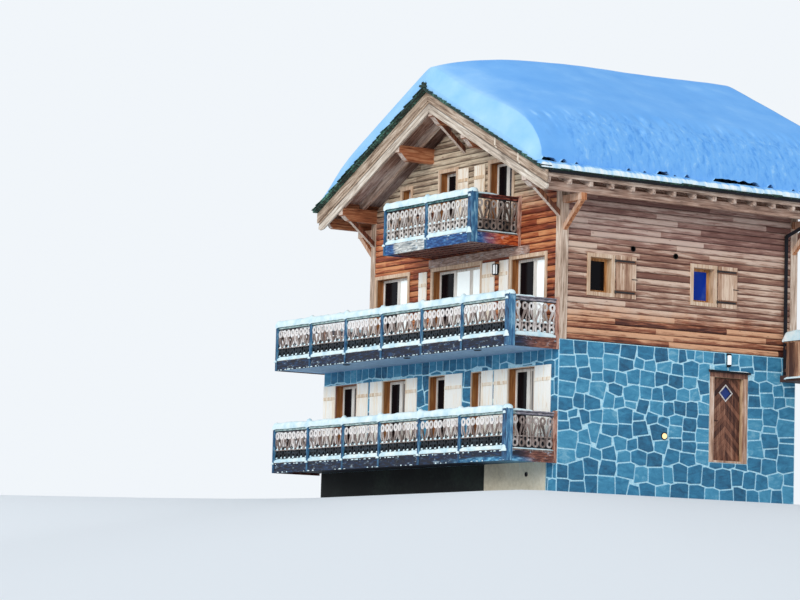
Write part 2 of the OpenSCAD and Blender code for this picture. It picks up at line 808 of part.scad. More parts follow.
function leaves(w, trim) = max(1, ceil((w - 2 * trim - 2 * lining) / leaf_max));
module each_leaf(w, trim) {
    n = leaves(w, trim);
    x0 = trim + lining;
    step = (w - 2 * x0) / n;
    for (i = [0:n - 1]) translate([x0 + i * step + (i > 0 ? hair : 0), 0, 0])
        leaf_at(step - (i > 0 ? hair : 0)) children();
}

module leaf_at(w) {
    $leaf_w = w;
    children();
}

module sash(w, h) {
    difference() {
        block([0, sash_in, 0], [w, reveal, h]);
        block([sash_w, sash_in - 20, sash_w], [w - sash_w, reveal + 20, h - sash_w]);
    }
}

module pane(w, h) {
    block([sash_w, sash_in + 18, sash_w], [w - sash_w, sash_in + 38, h - sash_w]);
}

// Every window in its place: kind 0 draws the frame, 1 the sashes and 2 the glass
module window_unit(w, h, trim, kind, sill = true) {
    z0 = trim + lining;
    if (kind == 0) window_ring(w, h, trim, sill);
    if (kind == 1) each_leaf(w, trim) translate([0, 0, z0]) sash($leaf_w, h - 2 * z0);
    if (kind == 2) each_leaf(w, trim) translate([0, 0, z0]) pane($leaf_w, h - 2 * z0);
}

module front_units(list, z0, z1, trim, kind, sill = true) {
    for (w = list) translate([-w[1], 0, z0]) window_unit(w[1] - w[0], z1 - z0, trim, kind, sill);
}

module all_windows(kind) {
    front_units(low_windows, floor_low, low_head, 0, kind);
    front_units(mid_windows, stone_h - casing, french_top + casing, casing, kind, false);
    for (i = [0:len(top_windows) - 1])
        front_units([top_windows[i]], floor_top - casing, floor_top + top_heights[i] + casing, casing, kind,
            false);
    to_left() on_right() for (w = side_windows)
        translate([w[0], 0, side_sill]) window_unit(w[1] - w[0], side_head - side_sill, casing, kind);
    only_back() {
        front_units(back_windows, side_sill, side_head, casing, kind);
        front_units([back_windows[1]], floor_top + 500 - casing, floor_top + 1500 + casing, casing, kind);
    }
}

module window_frames() {
    color("#b5773f") all_windows(0);
}

module window_sashes() {
    color("#e9e6df") all_windows(1);
}

module window_glass() {
    color("#1c2733") all_windows(2);
}

// Ledged shutters, open against the wall
module shutter(w, h) {
    block([0, -32, 0], [w, 0, h]);
    for (z = [0.1, 0.82]) block([20, -50, h * z], [w - 20, -30, h * z + 85]);
}

module shutters() {
    color("#e2c799") {
        for (s = low_shutters) translate([-s[1], 0, floor_low]) shutter(s[1] - s[0], low_head - floor_low);
        for (s = mid_shutters) translate([-s[1], 0, stone_h]) shutter(s[1] - s[0], french_top - stone_h);
        for (s = top_shutters)
            translate([-s[1], 0, floor_top + 20]) shutter(s[1] - s[0], top_heights[0] - 20);
        to_left() on_right() for (s = side_shutters)
            translate([s[0], 0, side_sill]) shutter(s[1] - s[0], side_head - side_sill);
    }
}

// Side door, drawn for the front wall and turned onto the right side
door_x0 = door_y + jamb_w;
door_x1 = door_y + door_w - jamb_w;
leaf_x0 = door_x0 + leaf_gap;
leaf_x1 = door_x1 - leaf_gap;
leaf_z0 = floor_low + sill_h + leaf_gap;
leaf_z1 = door_lintel - head_h - leaf_gap;
hinge_x = leaf_x1 - 8;
hinge_y = 8 - leaf_back;
hinge_r = 7;
hinge_zs = [leaf_z0 + 250, leaf_z1 - 330];

module door_frame() {
    color("#8a5a38") on_right() {
        block([door_y, -15, floor_low], [door_x0, -leaf_back, door_lintel]);
        block([door_x1, -15, floor_low], [door_y + door_w, -leaf_back, door_lintel]);
        block([door_x0 + hair, -15, door_lintel - head_h], [door_x1 - hair, -leaf_back, door_lintel]);
        block([door_x0 + hair, -15, floor_low], [door_x1 - hair, -leaf_back, floor_low + sill_h]);
        block([door_y - 40, -60, door_lintel + hair], [door_y + door_w + 40, 0, door_lintel + 30]);
        for (z = hinge_zs) {
            translate([hinge_x, hinge_y, z - 50]) cylinder(r = hinge_r, h = 50 - seat_gap, $fn = 32);
            block([hinge_x, hinge_y - 5, z - 50], [door_x1 + 10, hinge_y + 4, z - seat_gap]);
            block([door_x1 + 5, -leaf_back - 2, z - 50], [door_x1 + 45, hinge_y + 4, z - seat_gap]);
        }
    }
}

module diamond(side, y0, y1) {
    translate([(leaf_x0 + leaf_x1) / 2, y0, diamond_z]) rotate([0, 45, 0])
        translate([-side / 2, 0, -side / 2]) cube([side, y1 - y0, side]);
}

module side_door() {
    face = -leaf_back - leaf_t;
    back = -leaf_back;
    color("#7c5236") on_right() {
        difference() {
            block([leaf_x0, face, leaf_z0], [leaf_x1, back, leaf_z1]);
            diamond(diamond_side, face - 10, back + 10);
        }
        difference() {
            diamond(diamond_side + 60, face - 12, face + 5);
            diamond(diamond_side, face - 20, face + 20);
        }
        for (z = hinge_zs) {
            translate([hinge_x, hinge_y, z]) cylinder(r = hinge_r, h = 70, $fn = 32);
            block([hinge_x - 40, back - 2, z], [hinge_x, hinge_y - 2, z + 70]);
        }
        translate([leaf_x0 + 75, face + 5, 2080]) rotate([90, 0, 0]) cylinder(r = 11, h = 55, $fn = 24);
        block([leaf_x0 + 64, face - 56, 2069], [leaf_x0 + 190, face - 38, 2091]);
    }
}

module side_door_glass() {
    mid = -leaf_back - leaf_t / 2;
    color("#27466b") on_right() diamond(diamond_side, mid - 6, mid + 6);
}

// Lanterns by the middle windows and above the side door
module lantern() {
    block([-40, -18, -60], [40, 0, 60]);
    translate([0, -75, -130]) cylinder(r = 60, h = 200, $fn = 24);
    block([-15, -75, 30], [15, -10, 50]);
    translate([0, -75, 70]) cylinder(r1 = 75, r2 = 20, h = 60, $fn = 24);
}

module wall_lanterns() {
    color("#dfe6ea") {
        translate([-mid_shutters[0][1] - 100, 0, french_top - 222]) lantern();
        on_right() translate([door_y + door_w / 2, 0, door_lintel + 270]) lantern();
    }
}

// Round wall vents in the side wall: distance from the front corner and height
vents = [[house_d * 0.2945, side_head + 200], [house_d * 0.4736, side_head + 130]];
vent_r = 70;
module vent_bores() {
    for (v = vents) translate([v[0], log_t + 60, v[1]]) rotate([90, 0, 0])
        cylinder(r = vent_r, h = log_t + 120, $fn = 32);
}

module wall_vents() {
    color("#1c1a1c") to_left() on_right() for (v = vents)
        translate([v[0], log_t, v[1]]) rotate([90, 0, 0]) difference() {
            cylinder(r = vent_r, h = log_t + 12, $fn = 32);
            translate([0, 0, 30]) cylinder(r = vent_r - 8, h = log_t, $fn = 32);
        }
}

// Landing at the back right corner, on posts, with a parapet of upright boards
module side_landing() {
    color("#7a6654") {
        block([0, landing_y, landing_z - 160], [landing_w, landing_y + landing_d, landing_z]);
        for (y = [landing_y + 40, landing_y + landing_d - 180])
            block([landing_w - 200, y, 0], [landing_w - 60, y + 140, landing_z - 150]);
    }
}

module landing_parapet() {
    board = 118;
    gap = 8;
    count = floor((landing_w - 120) / (board + gap));
    color("#9b7a56") {
        block([60, landing_y - 2, landing_z + 120], [landing_w, landing_y + 40, landing_z + 200]);
        block([60, landing_y - 2, landing_z + parapet_h - 160], [landing_w, landing_y + 40,
            landing_z + parapet_h - 80]);
        block([landing_w - 100, landing_y, landing_z], [landing_w, landing_y + 80, landing_z + parapet_h]);
        block([110, landing_y, landing_z], [190, landing_y + 80, landing_z + parapet_h]);
        block([110, landing_y - 20, landing_z + parapet_h],
            [landing_w, landing_y + 110, landing_z + parapet_h + 40]);
        for (i = [0:count - 1]) translate([90 + i * (board + gap), landing_y - 22, landing_z - 120])
            cube([board, 22, parapet_h + 121]);
    }
}

placed() {
    front_stone_wall();
    right_stone_wall();
    door_bay_stone_wall();
    left_stone_wall();
    back_stone_wall();
    lower_floor();
    middle_floor();
    attic_floor();
    front_log_piers();
    front_gable_wall();
    right_log_wall();
    left_log_wall();
    back_gable_wall();
    corner_posts();
    roof_purlins();
    wall_plates();
    eave_purlins();
    gable_braces();
    eave_brackets();
    rafters();
    roof_core();
    roof_deck();
    roof_covering();
    ridge_cap();
    barge_boards();
    eave_fascias();
    gutters();
    downpipe();
    roof_snow();
    lower_balcony_deck();
    middle_balcony_deck();
    top_balcony_deck();
    balcony_fascias();
    lower_railing_panels();
    middle_railing_panels();
    top_railing_panels();
    railing_posts();
    window_frames();
    window_sashes();
    window_glass();
    shutters();
    door_frame();
    side_door();
    side_door_glass();
    wall_lanterns();
    wall_vents();
    side_landing();
    landing_parapet();
}
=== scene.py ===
import bmesh
import bpy
import math
import random
from mathutils import Matrix, Vector, noise


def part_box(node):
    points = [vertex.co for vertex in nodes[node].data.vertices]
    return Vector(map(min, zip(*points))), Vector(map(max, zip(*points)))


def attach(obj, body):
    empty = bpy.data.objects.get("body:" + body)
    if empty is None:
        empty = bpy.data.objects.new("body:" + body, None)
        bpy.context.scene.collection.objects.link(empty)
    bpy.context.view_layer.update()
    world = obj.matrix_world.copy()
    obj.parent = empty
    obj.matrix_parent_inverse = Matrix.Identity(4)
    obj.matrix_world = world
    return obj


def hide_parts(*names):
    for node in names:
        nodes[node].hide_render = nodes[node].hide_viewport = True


# The house is drawn in its own metres: X leftwards is negative, Y runs back from the front wall, and Z is up
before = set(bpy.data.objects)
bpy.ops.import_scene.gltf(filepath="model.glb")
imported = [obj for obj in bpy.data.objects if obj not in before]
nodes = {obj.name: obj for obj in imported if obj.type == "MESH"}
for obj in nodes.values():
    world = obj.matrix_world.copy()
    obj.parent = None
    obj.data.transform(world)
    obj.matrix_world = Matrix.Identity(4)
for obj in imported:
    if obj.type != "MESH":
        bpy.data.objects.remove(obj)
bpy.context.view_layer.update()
front_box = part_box("front_stone_wall")
OFFSET = Vector((front_box[1].x, front_box[0].y, 0))
STONE_W = front_box[1].x - front_box[0].x
STONE_H = front_box[1].z
HOUSE_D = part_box("back_stone_wall")[1].y - front_box[0].y
TIMBER_W = 8.6
RIDGE_X = -TIMBER_W / 2
LOG_H = 0.148
MIDDLE_HEAD = STONE_H + 14 * LOG_H
SLOPE = 0.49
LEAN = math.atan(SLOPE)
FLOOR_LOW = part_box("lower_floor")[1].z
FLOOR_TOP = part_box("attic_floor")[1].z
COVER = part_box("roof_covering")
EAVE_LAP = 0.02
HALF_SPAN = COVER[1].x - OFFSET.x - RIDGE_X - EAVE_LAP
ROOF_Y0 = COVER[0].y - OFFSET.y
ROOF_Y1 = COVER[1].y - OFFSET.y
COVER_T = 0.06
APEX = COVER[1].z - COVER_T
SLATE_APEX = APEX + COVER_T
BALCONY_D = 1.45
DOOR_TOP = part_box("door_frame")[1].z - 0.03
SLAB_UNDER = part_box("middle_balcony_deck")[0].z
RAIL_H = 0.95
BOARD_STEP = 0.205
FOOTS = {"lower": FLOOR_LOW - 0.01, "middle": STONE_H - 0.01, "top": FLOOR_TOP}
LEFT_END = 10.98
BAYS = [2.05, 3.85, 5.7, 7.45, 9.2]
TOP_LEFT, TOP_RIGHT, TOP_MID = 5.7, 1.7, 3.7625
SLIM, CORNER = 0.055, 0.18

# Windows and shutters as leftward distances from the right corner, side windows as distances backwards
LOW_WINDOWS = [(0.97, 2.11), (3.27, 3.74), (4.91, 5.66), (6.75, 7.86), (9.14, 10.21)]
MID_WINDOWS = [(0.55, 2.16), (3.34, 5.69), (6.69, 8.38)]
TOP_WINDOWS = [(2.03, 3.18, 1.95), (4.53, 5.45, 1.95), (6.65, 7.24, 1.7)]
LOW_SHUTTERS = [(0.28, 0.96), (2.12, 2.7), (2.75, 3.26), (4.12, 4.9), (6.2, 6.74), (7.87, 8.47),
    (8.56, 9.13), (10.22, 10.82)]
MID_SHUTTERS = [(2.19, 2.58), (2.79, 3.33), (5.87, 6.24)]
TOP_SHUTTERS = [(3.31, 3.79), (4.06, 4.52)]
TOP_SHUTTER_H = 1.93
SIDE_SHUTTERS = [1.61, 4.71]
SIDE_SHUTTER_W = 0.6
LOW_WINDOW_H = 2.1
SIDE_SILL = 4.85
SIDE_W, SIDE_H = 0.82, 1.02
BACK_WINDOWS = [(1.3, SIDE_SILL, SIDE_H), (3.89, SIDE_SILL, SIDE_H), (6.48, SIDE_SILL, SIDE_H),
    (3.89, FLOOR_TOP + 0.43, 1.14)]
TRIM = 0.07

# Directions
LEFT, RIGHT = (-1, 0, 0), (1, 0, 0)
FRONT, BACK = (0, -1, 0), (0, 1, 0)
UP, DOWN = (0, 0, 1), (0, 0, -1)


def house_box(node):
    """A CAD node's corners in the house's own metres."""
    low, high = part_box(node)
    return low - OFFSET, high - OFFSET


def spot(x, y, z, along, out, up=UP):
    """A place on the house, which turns a length along, a reach outwards and a height into a point."""
    ways = list(zip((x, y, z), along, out, up))
    return lambda u, w, v: Vector([start + u * a + w * b + v * c for start, a, b, c in ways])


def flat_up(place):
    """The same place for upright bars whose profile is listed across and outwards."""
    return lambda u, w, v: place(w, v, u)


def stood(place, across=0.0, up=0.0):
    """The same place for upright bars whose profile is listed outwards and across."""
    return lambda u, w, v: place(v + across, w, u + up)


# Mesh building
BLOCK_FACES = [(0, 1, 2, 3), (7, 6, 5, 4), (0, 4, 5, 1), (1, 5, 6, 2), (2, 6, 7, 3), (3, 7, 4, 0)]


def grid_faces(rows, columns):
    """Faces between points that are listed row by row."""
    return [(i * columns + j, (i + 1) * columns + j, (i + 1) * columns + j + 1, i * columns + j + 1)
        for i in range(rows - 1) for j in range(columns - 1)]


def loop_faces(count, low, high):
    """Faces between two closed loops of points that start at low and at high."""
    return [(low + k, low + (k + 1) % count, high + (k + 1) % count, high + k) for k in range(count)]


class Build:
    """Collects faces in house metres and turns them into one riding piece."""

    def __init__(self):
        self.verts = []
        self.faces = []
        self.tints = []

    def add(self, verts, faces, tint=0.5):
        base = len(self.verts)
        self.verts += [tuple(v) for v in verts]
        self.faces += [tuple(base + i for i in f) for f in faces]
        self.tints += [tint] * len(faces)

    def done(self, name, material, slot, body="house", smooth=False):
        mesh = bpy.data.meshes.new(name)
        mesh.from_pydata([tuple(Vector(v) + OFFSET) for v in self.verts], [], self.faces)
        mesh.update()
        layer = mesh.color_attributes.new("tint", "FLOAT_COLOR", "CORNER")
        values = []
        for face, tint in zip(mesh.polygons, self.tints):
            values += [tint, tint, tint, 1.0] * face.loop_total
        layer.data.foreach_set("color", values)
        if smooth:
            mesh.polygons.foreach_set("use_smooth", [True] * len(mesh.polygons))
        else:
            work = bmesh.new()
            work.from_mesh(mesh)
            bmesh.ops.recalc_face_normals(work, faces=work.faces)
            work.to_mesh(mesh)
            work.free()
        piece = bpy.data.objects.new(name, mesh)
        bpy.context.scene.collection.objects.link(piece)
        mesh.materials.append(material)
        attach(piece, body)
        return piece


# Materials
def rgb(text):
    """A hex colour as linear values."""
    values = [int(text[i : i + 2], 16) / 255 for i in (0, 2, 4)]
    return [v / 12.92 if v <= 0.04045 else ((v + 0.055) / 1.055) ** 2.4 for v in values]


class Signal:
    """One value in a material, which formulas can add to, multiply and so on."""

    def __init__(self, look, socket):
        self.look = look
        self.socket = socket

    def __add__(self, other):
        return self.look.math("ADD", self, other)

    def __sub__(self, other):
        return self.look.math("SUBTRACT", self, other)

    def __rsub__(self, other):
        return self.look.math("SUBTRACT", other, self)

    def __mul__(self, other):
        return self.look.math("MULTIPLY", self, other)

    def __truediv__(self, other):
        return self.look.math("DIVIDE", self, other)


class Look:
    """Short calls for building one material's nodes."""

    def __init__(self, name):
        self.material = bpy.data.materials.new(name)
        self.material.use_nodes = True
        self.tree = self.material.node_tree
        self.shader = self.tree.nodes["Principled BSDF"]

    def put(self, socket, value):
        if isinstance(value, Signal):
            self.tree.links.new(value.socket, socket)
        elif isinstance(value, str):
            socket.default_value = (*rgb(value), 1)
        elif value is not None:
            socket.default_value = value

    def signal(self, kind, output, links, **settings):
        """Adds a node and gives one of its outputs."""
        made = self.tree.nodes.new(kind)
        for key, value in settings.items():
            setattr(made, key, value)
        for socket, value in links.items():
            self.put(made.inputs[socket], value)
        return Signal(self, made.outputs[output])

    def math(self, operation, a, b=None):
        return self.signal("ShaderNodeMath", 0, {0: a, 1: b}, operation=operation)

    def mix(self, factor, a, b, blend="MIX"):
        return self.signal("ShaderNodeMix", 2, {0: factor, 6: a, 7: b}, data_type="RGBA", blend_type=blend)

    def position(self, scale=(1, 1, 1)):
        place = self.signal("ShaderNodeTexCoord", "Object", {})
        return self.signal("ShaderNodeMapping", "Vector", {"Vector": place, "Scale": scale})

    def noise(self, vector, scale, detail=4.0, rough=0.55, distort=0.0):
        links = {"Vector": vector, "Scale": scale, "Detail": detail, "Roughness": rough,
            "Distortion": distort}
        return self.signal("ShaderNodeTexNoise", "Fac", links)

    def tint(self):
        """The shade that a piece's faces carry."""
        return self.signal("ShaderNodeAttribute", "Fac", {}, attribute_name="tint")

    def part(self, axis):
        place = self.signal("ShaderNodeTexCoord", "Object", {})
        return self.signal("ShaderNodeSeparateXYZ", axis, {"Vector": place})

    def combine(self, **parts):
        return self.signal("ShaderNodeCombineXYZ", "Vector", parts)

    def ramp(self, value, *stops):
        """Greys or colours at places from 0 to 1."""
        made = self.signal("ShaderNodeValToRGB", "Color", {"Fac": value})
        points = made.socket.node.color_ramp.elements
        while len(points) < len(stops):
            points.new(0.5)
        for point, (at, colour) in zip(points, stops):
            point.position = at
            point.color = (*rgb(colour), 1) if isinstance(colour, str) else (colour, colour, colour, 1)
        return made

    def shades(self, value, colours, stops=(0.36, 0.5, 0.66)):
        """A dark, a middle and a light colour at three places from 0 to 1."""
        return self.ramp(value, *zip(stops, colours.split()))

    def zone(self, axis, a, b, wave=0.0):
        """Goes from 0 to 1 between two places of the house."""
        value = self.part(axis)
        if wave:
            value = (self.noise(self.position(), 2.5, 3.0) - 0.5) * wave + value
        off = {"X": OFFSET.x, "Y": OFFSET.y, "Z": 0.0}[axis]
        links = {"Value": value, "From Min": a + off, "From Max": b + off}
        return self.signal("ShaderNodeMapRange", "Result", links, interpolation_type="SMOOTHSTEP")

    def facing(self, axis, sign, a=0.4, b=0.6):
        """1 where a face looks along an axis."""
        normal = self.signal("ShaderNodeNewGeometry", "Normal", {})
        part = self.signal("ShaderNodeSeparateXYZ", axis, {"Vector": normal})
        return self.ramp(part * sign, (a, 0.0), (b, 1.0))

    def finish(self, colour, rough=0.6, bump=None, strength=0.3, depth=0.004, **settings):
        self.put(self.shader.inputs["Base Color"], colour)
        self.put(self.shader.inputs["Roughness"], rough)
        if bump is not None:
            links = {"Height": bump, "Strength": strength, "Distance": depth}
            self.put(self.shader.inputs["Normal"], self.signal("ShaderNodeBump", "Normal", links))
        for name, value in settings.items():
            self.put(self.shader.inputs[name.replace("_", " ")], value)
        return self.material


GRAIN = {"x": (1.0, 14.0, 14.0), "y": (14.0, 1.0, 14.0), "z": (14.0, 14.0, 1.0)}


def along_slope(m):
    """The length down the roof's slope and the height square to it."""
    run = m.math("ABSOLUTE", m.part("X") - (RIDGE_X + OFFSET.x))
    along = run * math.cos(LEAN) - m.part("Z") * math.sin(LEAN)
    over = run * math.sin(LEAN) + m.part("Z") * math.cos(LEAN)
    return along, over


def log_tones_and_painted_light(m, axis, length, strength):
    """Each log's own tone, painted lighter towards its top as a painted highlight, with the joints between
    logs at other places in each course.
    """
    rows = (m.part("Z") - STONE_H) / LOG_H
    row = m.math("FLOOR", rows)
    share = m.math("FRACT", rows)
    shift = m.signal("ShaderNodeTexWhiteNoise", "Value", {"W": row}, noise_dimensions="1D")
    log = m.math("FLOOR", m.part(axis.upper()) * (1.0 / length) + shift * 7.0)
    key = m.combine(X=row, Y=log)
    own = m.signal("ShaderNodeTexWhiteNoise", "Value", {"Vector": key}, noise_dimensions="2D")
    return (own - 0.5) * strength + (share - 0.45) * 0.16, share


def barge_layers(m, colour, lower, over):
    """A lower board of another colour, shadow lines along both boards and butt joints in the upper one."""
    deep = APEX * math.cos(LEAN) - over
    colour = m.mix(m.ramp(deep, (0.285, 0.0), (0.295, 1.0)), colour, lower)
    lines = m.ramp(deep, (0.05, 1.0), (0.06, 0.45), (0.075, 1.0), (0.155, 1.0), (0.165, 0.6), (0.18, 1.0),
        (0.27, 1.0), (0.28, 0.2), (0.3, 0.25), (0.315, 1.0), (0.375, 1.0), (0.385, 0.5), (0.4, 1.0))
    colour = m.mix(0.85, colour, lines, "MULTIPLY")
    upper = m.ramp(deep, (0.27, 1.0), (0.28, 0.0))
    for x in (-1.3, -0.3):
        seam = m.zone("X", x, x + 0.02) - m.zone("X", x + 0.07, x + 0.09)
        colour = m.mix(upper * seam, colour, "e8dac8")
    return colour


def wood(name, axis, colours, spread=0.13, tinted=0.0, slope=False, courses=None, zones=(), layers=None,
    reveal=None, ends=None, planks=None, knots=1.0, knot_scale=4.2, bump=0.35):
    """Sawn wood with grain along an axis. Courses give each log its own tone, with a painted highlight
    towards its top and painted shade in the grooves between logs, and zones change the colour along it.
    """
    m = Look(name)
    if slope:
        along, over = along_slope(m)
        at = m.combine(X=along, Y=m.part("Y"), Z=over)
        fine = m.signal("ShaderNodeMapping", "Vector", {"Vector": at, "Scale": GRAIN["x"]})
    else:
        fine = m.position(GRAIN[axis])
    streaks = m.noise(fine, 1.6, 6.0, 0.62, 0.6)
    tone = streaks * 0.72 + m.noise(m.position(), 0.9, 3.0) * 0.28
    if courses:
        shade, share = log_tones_and_painted_light(m, axis, *courses)
        tone = tone + shade
    if tinted:
        tone = tone + (m.tint() - 0.5) * tinted
    stops = (0.5 - spread, 0.5, 0.5 + spread)
    colour = m.shades(tone, colours, stops)
    for zone_colours, *where in zones:
        colour = m.mix(m.zone(*where), colour, m.shades(tone, zone_colours, stops))
    if layers:
        colour = barge_layers(m, colour, m.shades(tone, layers, stops), over)
    if reveal:
        inside = m.math("MINIMUM", m.part("Y") - OFFSET.y, OFFSET.x - m.part("X"))
        pale = m.shades(tone, "8a6a4c c8a682 ecd6b6", stops)
        golden = m.mix(m.zone("X", -0.45, -0.4), m.shades(tone, reveal, stops), pale)
        colour = m.mix(m.ramp(inside, (0.012, 0.0), (0.022, 1.0)), colour, golden)
    if ends:
        colour = m.mix(m.facing("Y", -1.0), colour, m.shades(tone, ends, stops))
    if planks:
        gap = m.ramp(m.math("FRACT", m.part("Y") / planks), (0.0, 0.05), (0.12, 0.15), (0.16, 1.0))
        colour = m.mix(0.9, colour, gap, "MULTIPLY")
    if courses:
        # Painted shade in the grooves at the foot and the top of each log
        edge = m.ramp(share, (0.0, 0.1), (0.09, 0.5), (0.2, 0.92), (0.93, 1.0), (0.97, 0.7), (1.0, 0.2))
        colour = m.mix(0.72, colour, edge, "MULTIPLY")
    if knots:
        place = m.position(tuple(0.35 * g ** 0.5 for g in GRAIN[axis]))
        cells = m.signal("ShaderNodeTexVoronoi", "Distance", {"Vector": place, "Scale": knot_scale})
        knot = m.ramp(cells, (0.0, 1.0), (0.06, 0.9), (0.11, 0.0))
        colour = m.mix(knot * (0.75 * knots), colour, colours.split()[0])
    return m.finish(colour, 0.62, streaks, bump, 0.006)


def mottled(name, stops, rough, scale, detail, grain=0.55, bump=0.3, **settings):
    """One even surface with one noise over it."""
    m = Look(name)
    grit = m.noise(m.position(), scale, detail, grain)
    return m.finish(m.ramp(grit, *stops), rough, grit, bump, **settings)


def paint(name, dark, light, rough=0.4, **settings):
    return mottled(name, [(0.35, dark), (0.75, light)], rough, 8.0, 4.0, bump=0.1, depth=0.001, **settings)


def glass_look(name, dark, light, rough=0.06):
    m = Look(name)
    # Paler patches across the glass are a painted reflection
    painted_sheen = m.noise(m.position((0.7, 0.7, 1.1)), 0.8, 2.0, 0.4, 0.5)
    colour = m.ramp(painted_sheen, (0.4, dark), (0.6, light))
    return m.finish(colour, rough, Specular_IOR_Level=0.4, Coat_Weight=0.08)


def fascia_look():
    """Dark blue stain, frosted here and there, with a painted sheen along the foot of the lower front
    towards the right, and red brown towards the walls.
    """
    m = Look("balcony fascia stain with painted sheen")
    grain = m.noise(m.position((2, 2, 12)), 2.4, 5.0, 0.6, 0.4)
    navy = m.shades(grain, "020512 071632 1c4068", (0.36, 0.52, 0.66))
    painted_sheen = m.shades(grain, "0c4872 1f78aa 84c4e2", (0.36, 0.5, 0.62))
    # A painted sheen along the foot of the lower fascia towards the right corner
    low = 1.0 - m.zone("Z", FOOTS["lower"] - 0.19, FOOTS["lower"] - 0.13, 0.05)
    navy = m.mix(low * m.zone("X", -3.2, -0.6, 1.2), navy, painted_sheen)
    bright = m.shades(grain, "06305e 0f4a8c 5b93c0", (0.36, 0.52, 0.66))
    frosted = m.shades(grain, "5f6e78 b9bcba e6e8e4", (0.36, 0.5, 0.62))
    brown = m.shades(grain, "3a1a16 6a3a30 a87058")
    orange = m.shades(grain, "6a1e0a c4541f ee9a62")
    plank = m.shades(grain, "7d6055 a8897c cfb8aa")
    top = m.zone("Z", 5.4, 5.5)
    left = m.mix(m.zone("X", -5.35, -5.1, 0.5), bright, frosted)
    front = m.mix(m.zone("X", -3.85, -3.68, 0.1), left, bright)
    colour = m.mix(m.zone("Y", -1.25, -0.5, 0.5), m.mix(top, navy, front), m.mix(top, brown, orange))
    lying = m.zone("Z", 5.86, 5.88) * (1.0 - m.zone("Z", 6.09, 6.11))
    colour = m.mix(lying * m.zone("Y", -0.4, -0.3), colour, plank)
    flecks = m.ramp(m.noise(m.position((1, 1, 2)), 4.5, 6.0, 0.75), (0.58, 0.0), (0.66, 1.0))
    return m.finish(m.mix(flecks * 0.6, colour, "c4dcea"), 0.55, grain, 0.3)


def post_look():
    """Blue grey posts on the front, with faces looking right painted paler as painted light, and pinkish
    brown ones at the walls.
    """
    m = Look("railing post stain with painted light")
    grain = m.noise(m.position((9, 9, 1.5)), 2.4, 5.0, 0.6, 0.4)
    navy = m.shades(grain, "0f2c4c 235078 4d86ac")
    side = m.shades(grain, "20507c 3f7ca4 8fbdd4")
    brown = m.shades(grain, "6e3a28 b0806e d8b4a4")
    # Faces looking right are painted paler than the rest: painted light
    blue = m.mix(m.facing("X", 1.0), navy, side)
    return m.finish(m.mix(m.zone("Y", -0.8, -0.5), blue, brown), 0.55, grain, 0.3)


def handrail_look():
    """Pale grey green below and teal above on the front, and red brown towards the walls."""
    m = Look("handrail boards")
    grain = m.noise(m.position((3, 3, 9)), 2.6, 5.0, 0.6, 0.4)
    stops = (0.36, 0.5, 0.64)
    pale = m.shades(grain, "6f8f92 a5bfbd cfdfdc", stops)
    teal = m.shades(grain, "1d4448 3c6e70 7fa8a8", stops)
    grey = m.shades(grain, "5c5a66 8b8792 b9aeb2", stops)
    brown = m.shades(grain, "350d0a 5f1f17 9a5a4a", stops)
    top = m.zone("Z", 5.4, 5.5)
    colour = m.mix(m.zone("Y", -1.3, -1.1, 0.2), m.mix(top, pale, teal), m.mix(top, grey, brown))
    return m.finish(colour, 0.55, grain, 0.3)


def snow_look():
    """Blue snow, painted paler where it slopes to the front as painted light, with wrinkles above the right
    eave painted darker in their hollows and paler on their crests.
    """
    m = Look("snow")
    lumps = m.noise(m.position(), 1.1, 6.0, 0.55)
    fine = m.noise(m.position(), 34.0, 3.0, 0.6)
    colour = m.shades(lumps, "69adf2 74b5f6 86c1fa", (0.3, 0.55, 0.8))
    # Faces sloping to the front get the paler blue: painted light
    pale = m.shades(lumps, "8cc6fa 9dd0fb b0dcfd", (0.3, 0.55, 0.8))
    colour = m.mix(m.facing("Y", -1.0, 0.15, 0.34), colour, pale)
    folds = m.noise(m.position((1.3, 2.4, 1.1)), 3.0, 6.0, 0.66, 0.5)
    # Above the right eave the folds are painted darker in their hollows and paler on their crests, as
    # painted shade and highlight, and they also rise as bumps
    streaks = m.ramp(folds, (0.36, "4b93e4"), (0.47, "72b4f6"), (0.58, "7dbcf8"), (0.68, "a9d9fd"))
    edge = RIDGE_X + HALF_SPAN
    slump = m.zone("X", edge - 1.15, edge - 0.95, 0.4) * (1.0 - m.zone("X", edge - 0.3, edge - 0.1))
    slump = slump * m.zone("Y", ROOF_Y0 + 0.9, ROOF_Y0 + 1.5, 0.5)
    height = fine * 0.25 + (slump * folds * 3.0 + lumps)
    return m.finish(m.mix(slump * 0.55, colour, streaks), 0.8, height, 0.3, 0.03, Specular_IOR_Level=0.2)


def eave_snow_look():
    """Blue on the slope and white along the lower edge."""
    m = Look("eave snow")
    lumps = m.noise(m.position((0.6, 2.6, 0.5)), 2.6, 5.0, 0.6, 0.5)
    blue = m.shades(lumps, "5fa4ee 84c2f8 a6d8fc", (0.38, 0.5, 0.62))
    white = m.shades(lumps, "b4dcfa d8f1fd f2fbfe", (0.38, 0.5, 0.62))
    run = m.math("ABSOLUTE", m.part("X") - (RIDGE_X + OFFSET.x))
    share = m.ramp(lumps * 0.1 + (run - HALF_SPAN), (0.0, 0.0), (0.04, 1.0))
    return m.finish(m.mix(share, blue, white), 0.8, lumps, 0.3, 0.02, Specular_IOR_Level=0.2)


def bright_snow_look():
    m = Look("fresh snow")
    lumps = m.noise(m.position(), 3.0, 5.0, 0.55)
    fine = m.noise(m.position(), 40.0, 3.0, 0.6)
    colour = m.shades(lumps, "b9dcec d9f0f6 f1fbfd", (0.3, 0.48, 0.7))
    return m.finish(colour, 0.8, fine * 0.3 + lumps, 0.25, 0.006, Specular_IOR_Level=0.2)


